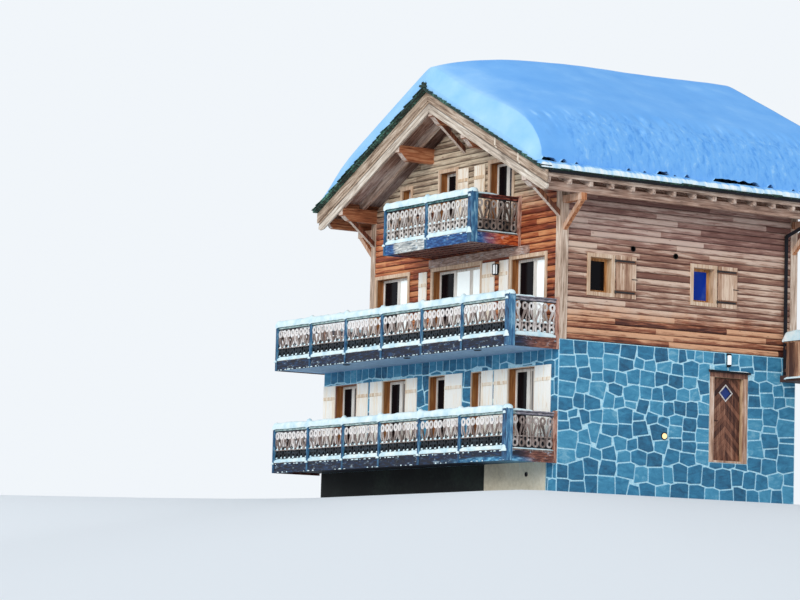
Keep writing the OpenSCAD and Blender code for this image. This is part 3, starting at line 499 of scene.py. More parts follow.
def slate_look():
    m = Look("dark green slate")
    grit = m.noise(m.position(), 14.0, 6.0, 0.65)
    tone = grit * 0.6 + m.noise(m.position(), 1.7, 3.0) * 0.4
    return m.finish(m.shades(tone, "060e0c 14342c 5c9884", (0.32, 0.5, 0.66)), 0.6, grit, 0.5)


def stone_look():
    m = Look("slate blue stone")
    split = m.noise(m.position((1, 1, 2.2)), 3.2, 7.0, 0.62, 0.8)
    grit = m.noise(m.position(), 30.0, 4.0, 0.6)
    tone = (split * 0.5 + grit * 0.12) + m.tint() * 0.26
    colour = m.ramp(tone, (0.26, "1d5577"), (0.42, "2f7ca3"), (0.56, "4a99bd"), (0.7, "8fc4d8"))
    return m.finish(colour, 0.7, grit * 0.3 + split, 0.5, 0.012)


def beige_look():
    """Plaster below the lower balcony: painted near black at the left as the painted shadow under the
    balcony, and beige at the right.
    """
    m = Look("beige plaster with painted shadow")
    grit = m.noise(m.position(), 12.0, 5.0, 0.6)
    tone = grit * 0.4 + m.noise(m.position(), 0.8, 3.0) * 0.6
    colour = m.shades(tone, "b8ae98 ded4bc f2ead6", (0.3, 0.5, 0.7))
    shade = m.shades(tone, "05080a 0e1516 24302c", (0.3, 0.5, 0.7))
    # Painted shadow: near black left of the line, beige to the right
    return m.finish(m.mix(m.zone("X", -3.06, -3.04), shade, colour), 0.85, grit, 0.3)


def pane_reflection_look():
    """Window glass: the tint goes from a dark room over a painted dusk-blue reflection to a painted
    reflection of a bright sky, and the glass glows a little as painted light.
    """
    m = Look("window panes with painted reflections")
    tint = m.tint()
    drift = m.noise(m.position((1, 1, 0.8)), 1.3, 3.0, 0.5, 0.4)
    colour = m.ramp((drift - 0.5) * 0.12 + tint, (0.0, "050408"), (0.3, "0c0e14"), (0.5, "032c8c"),
        (0.7, "8fb9d8"), (0.95, "f2fcfe"))
    pleats = m.shades(m.noise(m.position((26, 26, 0.4)), 1.0, 2.0), "2c2a2a 6c6866 b9b2ab", (0.4, 0.5, 0.6))
    curtain = m.ramp(tint, (0.38, 0.0), (0.39, 1.0), (0.43, 1.0), (0.44, 0.0))
    colour = m.mix(curtain, colour, pleats)
    # The panes glow a little: painted light
    return m.finish(colour, 0.12, Specular_IOR_Level=0.1, Emission_Color=colour, Emission_Strength=0.32)


# Looks that the scene's own pieces share with CAD nodes
door_wood = wood("door boards", "z", "3f1e16 8a5a45 c09478", tinted=0.5, spread=0.18, knot_scale=7.0)
gutter_paint = paint("gutter paint", "020208", "06081c", 0.9)
vent_paint = paint("vent paint", "0c0a0c", "231e20")
parapet_wood = wood("parapet boards", "z", "4a2c20 9a6f54 dcb796", tinted=0.6, spread=0.16)
rail_wood = wood("carved rail wood", "z", "3e302c 96857e eeeae8", knots=0.0, tinted=0.55, spread=0.2,
    zones=[("33281f 84766e e2deda", "Z", 6.3, 6.4)])
shutter_wood = wood("shutter boards", "z", "e0c2a0 fff4e2 fffef8", knots=0.8, tinted=0.3)
slate = slate_look()
snow = snow_look()

# Looks of the scene's own pieces alone
beige = beige_look()
bright_snow = bright_snow_look()
painted_shade_board = wood("railing boards painted as shade", "x", "05080c 0f1820 2a3a46", knots=0.0)
eave_snow = eave_snow_look()
handrail = handrail_look()
lamp_glass = paint("lamp glass", "e4eef2", "ffffff", 0.3, Emission_Color=(0.9, 0.97, 1.0, 1),
    Emission_Strength=0.3)
panes = pane_reflection_look()
side_shutter_wood = wood("side shutter boards", "z", "7a4f38 bf9a80 e8cfb8", tinted=0.5, spread=0.16)
stone = stone_look()
strap_iron = paint("strap iron", "100d10", "2a2426", 0.5)
warm_lamp = paint("warm lamp", "f2b36a", "ffdca0", Emission_Color=(1.0, 0.78, 0.4, 1), Emission_Strength=0.9)
white_trim = wood("white trim", "z", "a8a4a2 d8d4d2 f4f2f0", knots=0.0)


def dress(names, material):
    """Gives CAD nodes their material."""
    for name in names.split():
        mesh = nodes[name].data
        mesh.materials.clear()
        mesh.materials.append(material)


def dress_walls():
    mortar = mottled("pale mortar", [(0.3, "93cbe6"), (0.55, "bdeaf9"), (0.75, "ddf7fd")], 0.85, 22.0, 5.0,
        0.6, 0.6)
    dress("front_stone_wall right_stone_wall door_bay_stone_wall left_stone_wall back_stone_wall", mortar)
    dress("front_log_piers front_gable_wall", wood("logs front", "x", "74280f ac5831 dd9866",
        courses=(3.1, 0.18), zones=[
            ("6a5241 b09a83 e2d2b8", "Z", 6.75, 7.7, 0.7),
            # Front logs near the right corner painted orange as painted sunlight
            ("5a1c0a 9a4a28 cf8656", "X", -0.75, -0.55)]))
    dress("right_log_wall left_log_wall", wood("logs side", "y", "7c5042 a87e6a e0c4b0", courses=(3.4, 0.32),
        knot_scale=6.5, zones=[
            ("7c534a a67e72 d6baac", "Z", 5.9, 6.5, 0.5),
            ("481a0d 98573a dfaa85", "Z", 4.75, 4.25, 0.5)]))
    dress("back_gable_wall", wood("logs back", "x", "5c382c a47d6b dbbda8", courses=(3.4, 0.2)))
    dress("corner_posts", wood("corner post wood", "z", "7d6450 c6ac98 ecdccb", knots=0.6))


def dress_roof():
    pale_ends = "a08878 cdb8aa ece0d6"
    dress("roof_purlins", wood("beam wood", "y", "6b3119 b8704a dfa57c", ends=pale_ends))
    dress("wall_plates eave_purlins", wood("eave beam wood", "y", "6f4f42 b4917e dcc2b0", ends=pale_ends,
        zones=[("5c2a17 a96844 d39b74", "X", -5.2, -5.6, 0.1)]))
    dress("rafters", wood("rafter wood", "x", "7d6355 c6ac9c ead8ca", knots=0.5, slope=True))
    dress("gable_braces", wood("gable brace wood", "z", "2e130b 6e3b27 a8714f", knots=0.5,
        ends="a58a78 d2bcac f0e4da"))
    dress("eave_brackets", wood("brace wood", "z", "6a3419 bb7448 e4ab80", knots=0.6,
        ends="8c5a3c caa084 e8d0bc"))
    # Painted shade: the soffit's dark red brown stands for its shaded underside; a stretch down the left
    # slope is paler, and the far left end red brown again
    dress("roof_core roof_deck", wood("soffit boards with painted shade", "x", "40221a 8c6656 c0a090", slope=True, zones=[
        ("86665c bca298 e4d4ca", "X", -6.7, -7.5, 0.4),
        ("4a251b 8e5f4e c29a88", "X", -10.4, -10.9, 0.4)]))
    dress("barge_boards", wood("weathered board", "x", "6b5040 b8a08a e2d0be", knots=0.3, slope=True,
        spread=0.12, layers="8f8072 cfc0b0 f0e8dc"))
    dress("eave_fascias", wood("eave fascia board", "y", "71584a bca08e e6d2c2", knots=0.4))
    dress("roof_covering ridge_cap", slate)
    dress("roof_snow", snow)
    dress("gutters downpipe", gutter_paint)


def dress_balconies():
    # The lower deck's underside is painted navy black as painted shade, with a pale blue strip towards the
    # right corner as painted light
    dress("lower_balcony_deck", wood("low deck boards with painted shade", "x", "0a0c14 151c2c 27384e", knots=0.0,
        zones=[("1c5f86 3a8fb8 a4d6ea", "X", -3.2, -1.0, 1.0)]))
    dress("middle_balcony_deck", mottled("pale blue plaster", [(0.3, "86acd0"), (0.6, "a2c6e6"),
        (0.85, "b9dbf3")], 0.8, 9.0, 5.0, 0.6, 0.2))
    dress("top_balcony_deck", wood("top deck boards", "x", "3a1712 6e3a32 a06a5c", knots=0.5, planks=0.145,
        zones=[("5a3a3a 8c6460 b48e86", "X", -3.4, -2.2)]))
    dress("balcony_fascias", fascia_look())
    dress("railing_posts", post_look())
    dress("lower_railing_panels middle_railing_panels top_railing_panels", rail_wood)


def dress_rooms():
    slab = mottled("floor slab", [(0.3, "6f6a63"), (0.7, "97928a")], 0.9, 6.0, 5.0)
    dress("lower_floor middle_floor", slab)
    dress("attic_floor", wood("deck boards", "y", "34160f 6f3a2b 9c5f4a", knots=0.5))
    dress("window_frames", wood("window frame wood", "z", "a98263 d6b89c f2e2cf", knots=0.3, spread=0.2,
        reveal="5e2f12 a0622f d09458", zones=[("5e3022 96604c c8a08c", "X", -8.5, -8.8, 0.1)]))
    dress("window_sashes", wood("white sashes", "z", "c9c4bb e9e6df faf8f3", knots=0.0, bump=0.1,
        zones=[("6a3d1c b0763f dcab74", "X", -0.5, -0.45)]))
    dress("window_glass", glass_look("dark glass", "0a0c14", "1f3350"))
    dress("shutters", shutter_wood)
    dress("door_frame", wood("door frame wood", "z", "8d6450 c6a28a ead2c2", knots=0.5,
        reveal="7a4526 c08a60 e6bc94", zones=[("4a2a20 7c5242 a9806c", "Z", 3.13, 3.15)]))
    dress("side_door", door_wood)
    dress("side_door_glass", glass_look("blue glass", "04144e", "0a3a8a", 0.3))
    dress("wall_lanterns", gutter_paint)
    dress("wall_vents", vent_paint)
    dress("side_landing landing_parapet", parapet_wood)


dress_walls()
dress_roof()
dress_balconies()
dress_rooms()


# Stone facing
JOINT = 0.018
STONE_BACK = -0.012
REACH = 1.5


def clip(outline, at, normal):
    """The part of a convex outline behind a line."""
    kept = []
    for a, b in zip(outline, outline[1:] + outline[:1]):
        da, db = (a - at).dot(normal), (b - at).dot(normal)
        if da <= 0:
            kept.append(a)
        if (da <= 0) != (db <= 0):
            kept.append(a.lerp(b, da / (da - db)))
    return kept


def inset(outline, gap):
    """A convex outline moved inwards on all sides."""
    made = outline
    for a, b in zip(outline, outline[1:] + outline[:1]):
        normal = Vector((b.y - a.y, a.x - b.x))
        if normal.length > 0.001:
            normal.normalize()
            made = clip(made, a - normal * gap, normal)
    return made


def chamfer(outline, size):
    """Takes the sharp corners off an outline."""
    made = []
    for a, b, c in zip(outline[-1:] + outline[:-1], outline, outline[1:] + outline[:1]):
        for end in (a, c):
            made.append(b.lerp(end, min(0.3, size / max(0.01, (end - b).length))))
    return made


def area(outline):
    return 0.5 * sum(a.x * b.y - b.x * a.y for a, b in zip(outline, outline[1:] + outline[:1]))


def without(outline, hole):
    """The outline cut back from a rectangle along the side that loses least."""
    low, high = Vector(hole[:2]), Vector(hole[2:])
    cuts = [(low, Vector((-1, 0))), (high, Vector((1, 0))), (low, Vector((0, -1))), (high, Vector((0, 1)))]
    inside = outline
    for at, normal in cuts:
        inside = clip(inside, at, normal)
    if len(inside) < 3 or area(inside) < 1e-4:
        return outline
    options = [clip(outline, at, -normal) for at, normal in cuts]
    return max(options, key=lambda made: area(made) if len(made) > 2 else 0)


def stone_seeds(rng, u0, v0, u1, v1):
    """Centres and half sizes of stones in loose courses, as a mason sets odd stones."""
    seeds = []
    count = round((v1 - v0) / 0.4)
    height = (v1 - v0) / count
    for i in range(count):
        u = u0 + rng.uniform(-0.1, 0.25)
        while u < u1 + 0.1:
            width = rng.uniform(0.3, 0.62)
            rise = rng.uniform(-0.13, 0.13)
            seeds.append((u + width / 2, v0 + (i + 0.5) * height + rise, rng.uniform(0.13, 0.24)))
            u += width
    return seeds


# The side wall's courses from the top down: the height of the middle in metres, then the widths of the
# stones in centimetres from the front corner backwards, chosen after the photograph
SIDE_COURSES = [
    (3.58, (45, 35, 50, 50, 50, 50, 45, 30, 25, 25, 25, 30, 40, 40, 45, 45, 45, 45)),
    (3.27, (50, 35, 45, 45, 45, 30, 40, 45, 35, 45, 50, 45, 35, 45, 40, 45, 45)),
    (2.94, (60, 35, 35, 35, 35, 40, 45, 40, 45, 40, 40, 30, 60, 30, 35, 45, 35, 35)),
    (2.61, (50, 40, 55, 45, 50, 35, 35, 40, 40, 40, 30, 35, 35, 40, 40, 45, 35, 30)),
    (2.29, (45, 30, 50, 40, 30, 35, 40, 40, 35, 35, 35, 40, 40, 40, 35, 45, 55, 50)),
    (1.98, (30, 25, 40, 35, 45, 45, 35, 40, 35, 40, 45, 40, 40, 40, 35, 50, 40, 60)),
    (1.68, (35, 40, 55, 45, 45, 50, 55, 45, 40, 45, 40, 40, 35, 40, 60, 50)),
    (1.38, (60, 50, 50, 45, 30, 50, 45, 40, 45, 40, 40, 40, 35, 55, 45, 50)),
    (1.08, (55, 40, 35, 45, 40, 50, 45, 55, 45, 45, 40, 40, 35, 45, 50, 55)),
]
COURSES_FOOT = 0.86
# The front wall's top course, over the windows, and the holes in the stone
COURSES_HEAD = 3.2
TOP_COURSE = 3.47
DOOR_HOLE = (4.52, 1.05, 5.69, 3.27)
WINDOW_HOLES = [(-b, 1.0, -a, 3.16) for a, b in LOW_WINDOWS]
PLASTER_HOLE = (-STONE_W - 0.1, -0.1, -0.42, COURSES_FOOT)


def course_seeds(courses, rng):
    """Centres and half sizes of stones along courses that rise and fall a little."""
    seeds = []
    for height, widths in courses:
        u = 0.0
        for k, width in enumerate(w / 100 for w in widths):
            sway = 0.05 * math.sin(u * 2.1 + height * 5) + (0.05 if k % 2 else -0.05) * rng.uniform(0.2, 1.3)
            seeds.append((u + width / 2, height + sway, 0.42 * width + rng.uniform(-0.02, 0.03)))
            u += width
    return seeds


def stone_cell(seeds, i, bounds):
    """The part of the wall that belongs to one stone, up to the joints with those around it."""
    u0, v0, u1, v1 = bounds
    u, v, size = seeds[i]
    at = Vector((u, v))
    cell = [Vector(p) for p in ((u0, v0), (u1, v0), (u1, v1), (u0, v1))]
    for j, (u2, v2, size2) in enumerate(seeds):
        if j != i and abs(u2 - u) < REACH and abs(v2 - v) < REACH:
            gap = Vector((u2 - u, v2 - v))
            share = min(0.8, max(0.2, 0.5 + (size * size - size2 * size2) / (2 * gap.length_squared)))
            # Joints stand or lie nearly straight, as between roughly squared stones
            wide = abs(gap.x) > 1.05 * abs(gap.y)
            square = Vector((math.copysign(1, gap.x), 0)) if wide else Vector((0, math.copysign(1, gap.y)))
            cell = clip(cell, at + gap * share, (gap.normalized() * 0.42 + square * 0.58).normalized())
    return cell


def lay_stone(build, place, cell, top, rng):
    """One stone with an eased edge and a face that leans and rises a little."""
    n, m = len(cell), len(top)
    lift = rng.uniform(0.004, 0.01)
    lean = Vector((rng.uniform(-1, 1), rng.uniform(-1, 1))) * 0.012
    middle = sum(top, Vector((0, 0))) / m
    shade = rng.random()
    low = [place(p.x, STONE_BACK, p.y) for p in cell]
    rim = [place(p.x, lift, p.y) for p in cell]
    peak = [place(middle.x, lift + 0.009, middle.y)]
    build.add(low + rim, loop_faces(n, 0, n), shade)
    if m == n:
        shelf = [place(p.x, lift + 0.006 + (p - middle).dot(lean), p.y) for p in top]
        build.add(rim + shelf, loop_faces(n, 0, n), shade)
        rim = shelf
    build.add(rim + peak, [(k, (k + 1) % n, n) for k in range(n)], shade)


def face_wall(name, place, bounds, holes, seeds, rng):
    """Stones on one wall, each cut back from the wall's holes."""
    build = Build()
    for i in range(len(seeds)):
        cell = stone_cell(seeds, i, bounds)
        for hole in holes:
            if len(cell) > 2:
                cell = without(cell, hole)
        if len(cell) < 3:
            continue
        cell = inset(cell, JOINT)
        if len(cell) < 3 or area(cell) < 0.006:
            continue
        cell = chamfer(cell, 0.009)
        top = inset(cell, 0.01)
        if len(top) > 2:
            lay_stone(build, place, cell, top, rng)
    build.done(name, stone, "stone")


def add_stones():
    rng = random.Random(41)
    seeds = course_seeds(SIDE_COURSES, rng)
    seeds += [seed for seed in stone_seeds(rng, 0, 0, HOUSE_D, 0.95) if seed[1] < COURSES_FOOT]
    side = spot(0, 0, 0, BACK, RIGHT)
    face_wall("stone_facing_side", side, (0, 0, HOUSE_D, STONE_H), [DOOR_HOLE], seeds, rng)
    seeds = stone_seeds(rng, -STONE_W, 0.02, 0, COURSES_HEAD)
    u = -STONE_W
    while u < 0:
        step = rng.uniform(0.22, 0.42)
        seeds.append((u + step / 2, TOP_COURSE + rng.uniform(-0.03, 0.03), 0.22))
        u += step
    front = spot(0, 0, 0, RIGHT, FRONT)
    holes = WINDOW_HOLES + [PLASTER_HOLE]
    face_wall("stone_facing_front", front, (-STONE_W, 0, 0, STONE_H), holes, seeds, rng)
    seeds = stone_seeds(rng, -HOUSE_D, 0, 0, STONE_H)
    left = spot(-STONE_W, 0, 0, FRONT, LEFT)
    face_wall("stone_facing_left", left, (-HOUSE_D, 0, 0, STONE_H), [], seeds, rng)
    seeds = stone_seeds(rng, 0, 0, STONE_W, STONE_H)
    back = spot(0, HOUSE_D, 0, LEFT, BACK)
    face_wall("stone_facing_back", back, (0, 0, STONE_W, STONE_H), [], seeds, rng)


# Basement
HOLE = Vector((-1.23, 0.557))
HOLE_R = 0.055
HOLE_SIDES = 24
PLASTER_Y = -0.014
PLASTER_TOP = 0.845
PLASTER_END = -0.43
PLASTER_CELL = 0.2


def add_basement_plaster():
    """A rendered panel below the lower balcony, which leaves a frame around one round hole."""
    build = Build()
    rows, half = 5, 0.3
    for a, b in ((-STONE_W, HOLE.x - half), (HOLE.x + half, PLASTER_END)):
        n = max(1, round((b - a) / PLASTER_CELL))
        grid = []
        for x in (a + (b - a) * i / n for i in range(n + 1)):
            for z in (PLASTER_TOP * j / rows for j in range(rows + 1)):
                grid.append((x, PLASTER_Y + 0.004 * noise.noise(Vector((x * 1.3, 0, z * 2))), z))
        build.add(grid, grid_faces(n + 1, rows + 1))
    angles = [math.tau * k / HOLE_SIDES for k in range(HOLE_SIDES)]
    around = [HOLE + HOLE_R * Vector((math.cos(t), math.sin(t))) for t in angles]
    rim = []
    for point in around:
        way = (point - HOLE).normalized()
        above = (PLASTER_TOP - HOLE.y) / way.y if way.y > 0 else math.inf
        below = HOLE.y / -way.y if way.y < 0 else math.inf
        rim.append(HOLE + way * min(half / max(1e-6, abs(way.x)), above, below))
    ring = [(p.x, PLASTER_Y, p.y) for p in around + rim] + [(p.x, 0.0, p.y) for p in around]
    build.add(ring, loop_faces(HOLE_SIDES, 0, HOLE_SIDES))
    build.add(ring, loop_faces(HOLE_SIDES, 2 * HOLE_SIDES, 0))
    build.done("basement_plaster", beige, "stone")


def add_basement_pipe():
    pipe = Build()
    rings = [(0.05, -0.03), (0.056, -0.03), (0.056, 0.0), (0.05, -0.004)]
    n = HOLE_SIDES
    verts = [(HOLE.x + r * math.cos(math.tau * k / n), y, HOLE.y + r * math.sin(math.tau * k / n))
        for r, y in rings for k in range(n)]
    pipe.add(verts, [face for j in range(4) for face in loop_faces(n, j * n, (j + 1) % 4 * n)])
    pipe.add([(HOLE.x, rings[-1][1], HOLE.y)] + verts[-n:], [(0, k + 1, (k + 1) % n + 1) for k in range(n)])
    pipe.done("basement_pipe", vent_paint, "vent")


# Snow on the roof. EAVE_ROLL gives the share of the depth at each distance from the eave, GAPS the stretches
# where the lower edge stands off the slates, and CREST the depth at the front by the share of the half span
EAVE_ROLL = [(0.2, 0.0), (0.24, 0.14), (0.3, 0.32), (0.4, 0.48), (0.52, 0.6), (0.7, 0.74), (1.0, 0.88),
    (1.4, 0.97), (1.9, 1.0)]
GAPS = [(-1.13, -0.68), (-0.58, -0.38), (-0.15, -0.05), (1.37, 1.49), (1.85, 1.93), (2.25, 2.63),
    (2.77, 2.85), (3.09, 3.27), (3.97, 5.42), (5.65, 5.85), (6.42, 6.53), (6.67, 7.02), (7.77, 7.97)]
CREST = [(0.0, 0.6), (0.3, 0.57), (0.56, 0.73), (0.73, 0.83), (0.92, 0.97), (1.0, 0.97)]
SNOW_DEEP = 1.18
FRONT_ROLL, BACK_ROLL = 0.22, 0.3
RIDGE_SOFT = 0.15
LONG_STEPS, END_STEPS, SLOPE_STEPS = 190, 10, 80


def between(pairs, at):
    """A value read on straight lines between listed points."""
    for (a, va), (b, vb) in zip(pairs, pairs[1:]):
        if at <= b:
            t = max(0.0, (at - a) / (b - a))
            return va + (vb - va) * t
    return pairs[-1][1]


def gap_lift(y):
    """How far the lower edge of the snow stands off the slates."""
    lift, ease = 0.0, 0.05
    for a, b in GAPS:
        if a - ease < y < b + ease:
            inside = min(1.0, min(y - a + ease, b + ease - y) / 0.12)
            lift = max(lift, inside * (0.13 + 0.05 * noise.noise(Vector((y * 6, 0, 1)))))
    return lift


def snow_depth(x, y):
    right = x > RIDGE_X
    across = abs(x - RIDGE_X)
    eave = HALF_SPAN - across
    deep = SNOW_DEEP + 0.02 * math.sin(y * 0.9)
    near, far = y - ROOF_Y0, ROOF_Y1 - y
    crest = between(CREST, min(1.0, across / HALF_SPAN)) if right else 0.57
    if near < FRONT_ROLL:
        depth = 0.1 + (crest - 0.1) * near / FRONT_ROLL
    else:
        depth = crest + (deep - crest) * (1 - math.exp(-(near - FRONT_ROLL) / 1.6))
    if far < BACK_ROLL:
        depth = min(depth, 0.06 + (deep - 0.06) * (far / BACK_ROLL) ** 0.55)
    roll = between(EAVE_ROLL, eave)
    swell = noise.noise(Vector((x * 0.6, y * 0.5, 3.0))) * 0.03
    swell += noise.noise(Vector((x * 1.7, y * 1.5, 7.0))) * 0.01
    depth = depth * roll + swell * min(1, max(0, near - 0.3)) * roll
    # The slump runs across the slope above the eave
    for level, reach, size in ((1.0, 0.3, 0.04), (0.6, 0.2, 0.045), (0.36, 0.08, 0.025)):
        level += 0.05 * noise.noise(Vector((y * 0.8, level * 9, 0.0)))
        above = (eave - level) / reach
        if -1 < above < 1.6 and 0.6 < near:
            fold = noise.noise(Vector((y * 4.0, level * 5, 2.0)))
            fold += 0.6 * noise.noise(Vector((y * 9.0, above * 0.4, 5.0)))
            depth += size * fold * max(0.0, 1 - abs(above - 0.5))
            depth -= size * 0.8 * math.exp(-((above + 0.15) * 4) ** 2)
    return max(depth, gap_lift(y)) if right else depth


def add_roof_snow():
    build = Build()
    ys = [ROOF_Y0 + e for e in (0.02, 0.08, 0.15, 0.2, 0.22, 0.24, 0.3, 0.38, 0.46)]
    ys += [ROOF_Y0 + 0.52 + (ROOF_Y1 - ROOF_Y0 - 1.0) * i / LONG_STEPS for i in range(LONG_STEPS)]
    ys += [ROOF_Y1 - 0.02 - 0.46 * ((END_STEPS - i) / END_STEPS) ** 1.4 for i in range(END_STEPS + 1)]
    span = HALF_SPAN - EAVE_ROLL[0][0]
    us = [span - span * (i / SLOPE_STEPS) ** 1.9 for i in range(SLOPE_STEPS + 1)]
    xs = [RIDGE_X - u for u in us] + [RIDGE_X + u for u in reversed(us[:-1])]
    verts = []
    for x in xs:
        across = abs(x - RIDGE_X)
        fall = SLOPE * (math.sqrt(across * across + RIDGE_SOFT * RIDGE_SOFT) - RIDGE_SOFT * 0.55)
        for y in ys:
            ends = min(1.0, (y - ROOF_Y0) * 3)
            drop = SLOPE * across * (1 - ends) + fall * ends
            verts.append((x, y, SLATE_APEX - drop + snow_depth(x, y) - 0.01))
    # The lower edge turns under, which leaves dark gaps where it stands off the slates
    under = RIDGE_X + HALF_SPAN - 0.9
    verts += [(under, y, SLATE_APEX - SLOPE * (under - RIDGE_X) + gap_lift(y) - 0.03) for y in ys]
    rows, n = len(xs) + 1, len(ys)
    build.add(verts, grid_faces(rows, n))
    rim = [i * n for i in range(rows)] + [(rows - 1) * n + j for j in range(1, n)]
    rim += [i * n + n - 1 for i in range(rows - 2, -1, -1)] + list(range(n - 2, 0, -1))
    high = [verts[k] for k in rim]
    low = [(x, y, SLATE_APEX - SLOPE * abs(x - RIDGE_X) - 0.03) for x, y, _ in high]
    m = len(rim)
    build.add(high + low, [(k, m + k, m + (k + 1) % m, (k + 1) % m) for k in range(m)])
    piece = build.done("roof_snow_cover", snow, "snow", smooth=True)
    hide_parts("roof_snow")


def add_eave_snow(side, sign):
    """A strip of snow along one eave: its profile is listed by distance from the edge and by depth."""
    strip = Build()
    count = 220
    profile = [(0.3, 0.0), (0.27, 0.05), (0.2, 0.085), (0.1, 0.1), (0.02, 0.09), (-0.03, 0.055),
        (-0.045, 0.0)]
    verts = []
    for j in range(count + 1):
        y = ROOF_Y0 + 0.01 + (ROOF_Y1 - ROOF_Y0 - 0.02) * j / count
        swell = 1 + 0.25 * noise.noise(Vector((y * 2.2, sign, 0)))
        swell += 0.12 * noise.noise(Vector((y * 9, sign, 4)))
        ends = min(1.0, 0.25 + min(j, count - j) / 3)
        for e, depth in profile:
            z = SLATE_APEX - SLOPE * (HALF_SPAN - e) + depth * swell * ends - 0.006
            verts.append((RIDGE_X + sign * (HALF_SPAN - e), y, z))
    strip.add(verts, grid_faces(count + 1, len(profile)))
    strip.done("eave_snow_" + side, eave_snow, "snow", smooth=True)


# Bars, bands and heaps
RING_SIDES = 18


def band(build, place, a, b, w0, w1, tint, closed=False):
    """A flat strip between two lines, given thickness; a ring where it closes."""
    n = len(a)
    verts = [place(u, w, v) for w in (w0, w1) for side in (a, b) for u, v in side]

    def at(w, side, k):
        return (w * 2 + side) * n + k % n

    faces = []
    for k in range(n if closed else n - 1):
        for w, side, w2, side2 in ((1, 0, 1, 1), (0, 1, 0, 0), (0, 0, 1, 0), (1, 1, 0, 1)):
            faces.append((at(w, side, k), at(w2, side2, k), at(w2, side2, k + 1), at(w, side, k + 1)))
    if not closed:
        faces += [(at(0, 0, k), at(0, 1, k), at(1, 1, k), at(1, 0, k)) for k in (0, n - 1)]
    build.add(verts, faces, tint)


def ring(build, place, centre, outer, inner, depth, tint, dip):
    """An oval ring whose hole is wider above or below."""
    angles = [math.tau * k / RING_SIDES for k in range(RING_SIDES)]
    u, v = centre
    a = [(u + outer[0] * math.cos(t), v + outer[1] * math.sin(t)) for t in angles]
    b = [(u + inner[0] * math.cos(t) * (1 + dip * math.sin(t)), v + inner[1] * math.sin(t)) for t in angles]
    band(build, place, a, b, -depth, depth, tint, True)


def curve_points(points, count):
    """A smooth line through points of three values."""
    made = []
    last = len(points) - 1
    for i in range(count + 1):
        at = last * i / count
        k = min(last - 1, int(at))
        t = at - k
        four = (points[max(0, min(last, k + j))] for j in (-1, 0, 1, 2))
        made.append([0.5 * (2 * q + (r - p) * t + (2 * p - 5 * q + 4 * r - s) * t * t
            + (3 * q - p - 3 * r + s) * t ** 3) for p, q, r, s in zip(*four)])
    return made


def strap(build, place, points, depth, tint, count=12):
    """A curved strap through points of place, height and width."""
    line = curve_points(points, count)
    a, b = [], []
    for i, (u, v, width) in enumerate(line):
        u0, v0, _ = line[max(0, i - 1)]
        u1, v1, _ = line[min(count, i + 1)]
        along = Vector((u1 - u0, v1 - v0)).normalized()
        a.append((u - along.y * width / 2, v + along.x * width / 2))
        b.append((u + along.y * width / 2, v - along.x * width / 2))
    band(build, place, a, b, -depth, depth, tint)


def bar(build, place, u0, u1, profile, tint=0.5):
    """A profile of outwards and up, run along a straight line."""
    n = len(profile)
    verts = [place(u, w, v) for u in (u0, u1) for w, v in profile]
    build.add(verts, loop_faces(n, 0, n) + [tuple(range(n)), tuple(range(2 * n - 1, n - 1, -1))], tint)


def rounded(w0, v0, w1, v1, r):
    """A rectangle with its corners cut off."""
    return [(w0 + r, v0), (w1 - r, v0), (w1, v0 + r), (w1, v1 - r), (w1 - r, v1), (w0 + r, v1), (w0, v1 - r),
        (w0, v0 + r)]


def lathe(build, place, profile, count=20):
    """A turned shape from pairs of radius and height."""
    angles = [math.tau * k / count for k in range(count)]
    build.add([place(r * math.cos(t), r * math.sin(t), h) for r, h in profile for t in angles],
        [face for j in range(1, len(profile)) for face in loop_faces(count, (j - 1) * count, j * count)])


# A drift's profile: the share of its half width, of the sag below its foot and of its depth
DRIFT = [(1.12, -1, 0), (1.25, -0.4, 0.15), (1.15, 0, 0.5), (0.7, 0, 0.88), (0, 0, 1), (-0.7, 0, 0.85),
    (-1.12, 0, 0.45), (-1.1, -0.3, 0.05)]


def drift(build, place, u0, u1, half, base, depth, sag, uneven=0.35, humps=()):
    """A rounded ridge of snow along a rail, uneven in depth."""
    count = max(4, round((u1 - u0) / 0.05))
    n = len(DRIFT)
    verts = []
    for i in range(count + 1):
        u = u0 + (u1 - u0) * i / count
        here = place(u, 0, base)
        swell = 1 + uneven * noise.noise(here * 4.3) + 0.5 * uneven * noise.noise(here * 13.0)
        for hump in humps:
            swell += 0.5 * math.exp(-(((u - hump) / 0.06) ** 2))
        ends = min(1.0, 0.35 + min(i, count - i) / 2.5)
        wide = half * (0.9 + 0.1 * swell)
        for w, low, high in DRIFT:
            verts.append(place(u, w * wide, base + low * sag * swell + high * depth * swell * ends))
    build.add(verts, grid_faces(count + 1, n))
    for i in (0, count):
        build.add(verts[i * n : (i + 1) * n], [tuple(range(n))])


def lump(build, place, centre, size, rings=4, around=10):
    """A small rounded heap."""
    u, w, v = centre
    verts = [place(u, w, v + size[2])]
    for i in range(1, rings + 1):
        t = 0.5 * math.pi * i / rings
        high = v + size[2] * math.cos(t) ** 0.8 if i < rings else v - 0.15 * size[2]
        for k in range(around):
            turn = math.tau * k / around
            r = math.sin(t) * (1 + 0.12 * math.sin(k * 2.1 + u * 9))
            verts.append(place(u + size[0] * r * math.cos(turn), w + size[1] * r * math.sin(turn), high))
    faces = [(0, 1 + k, 1 + (k + 1) % around) for k in range(around)]
    for a in range(1, (rings - 1) * around, around):
        b = a + around
        faces += [(a + k, b + k, b + (k + 1) % around, a + (k + 1) % around) for k in range(around)]
    build.add(verts, faces)


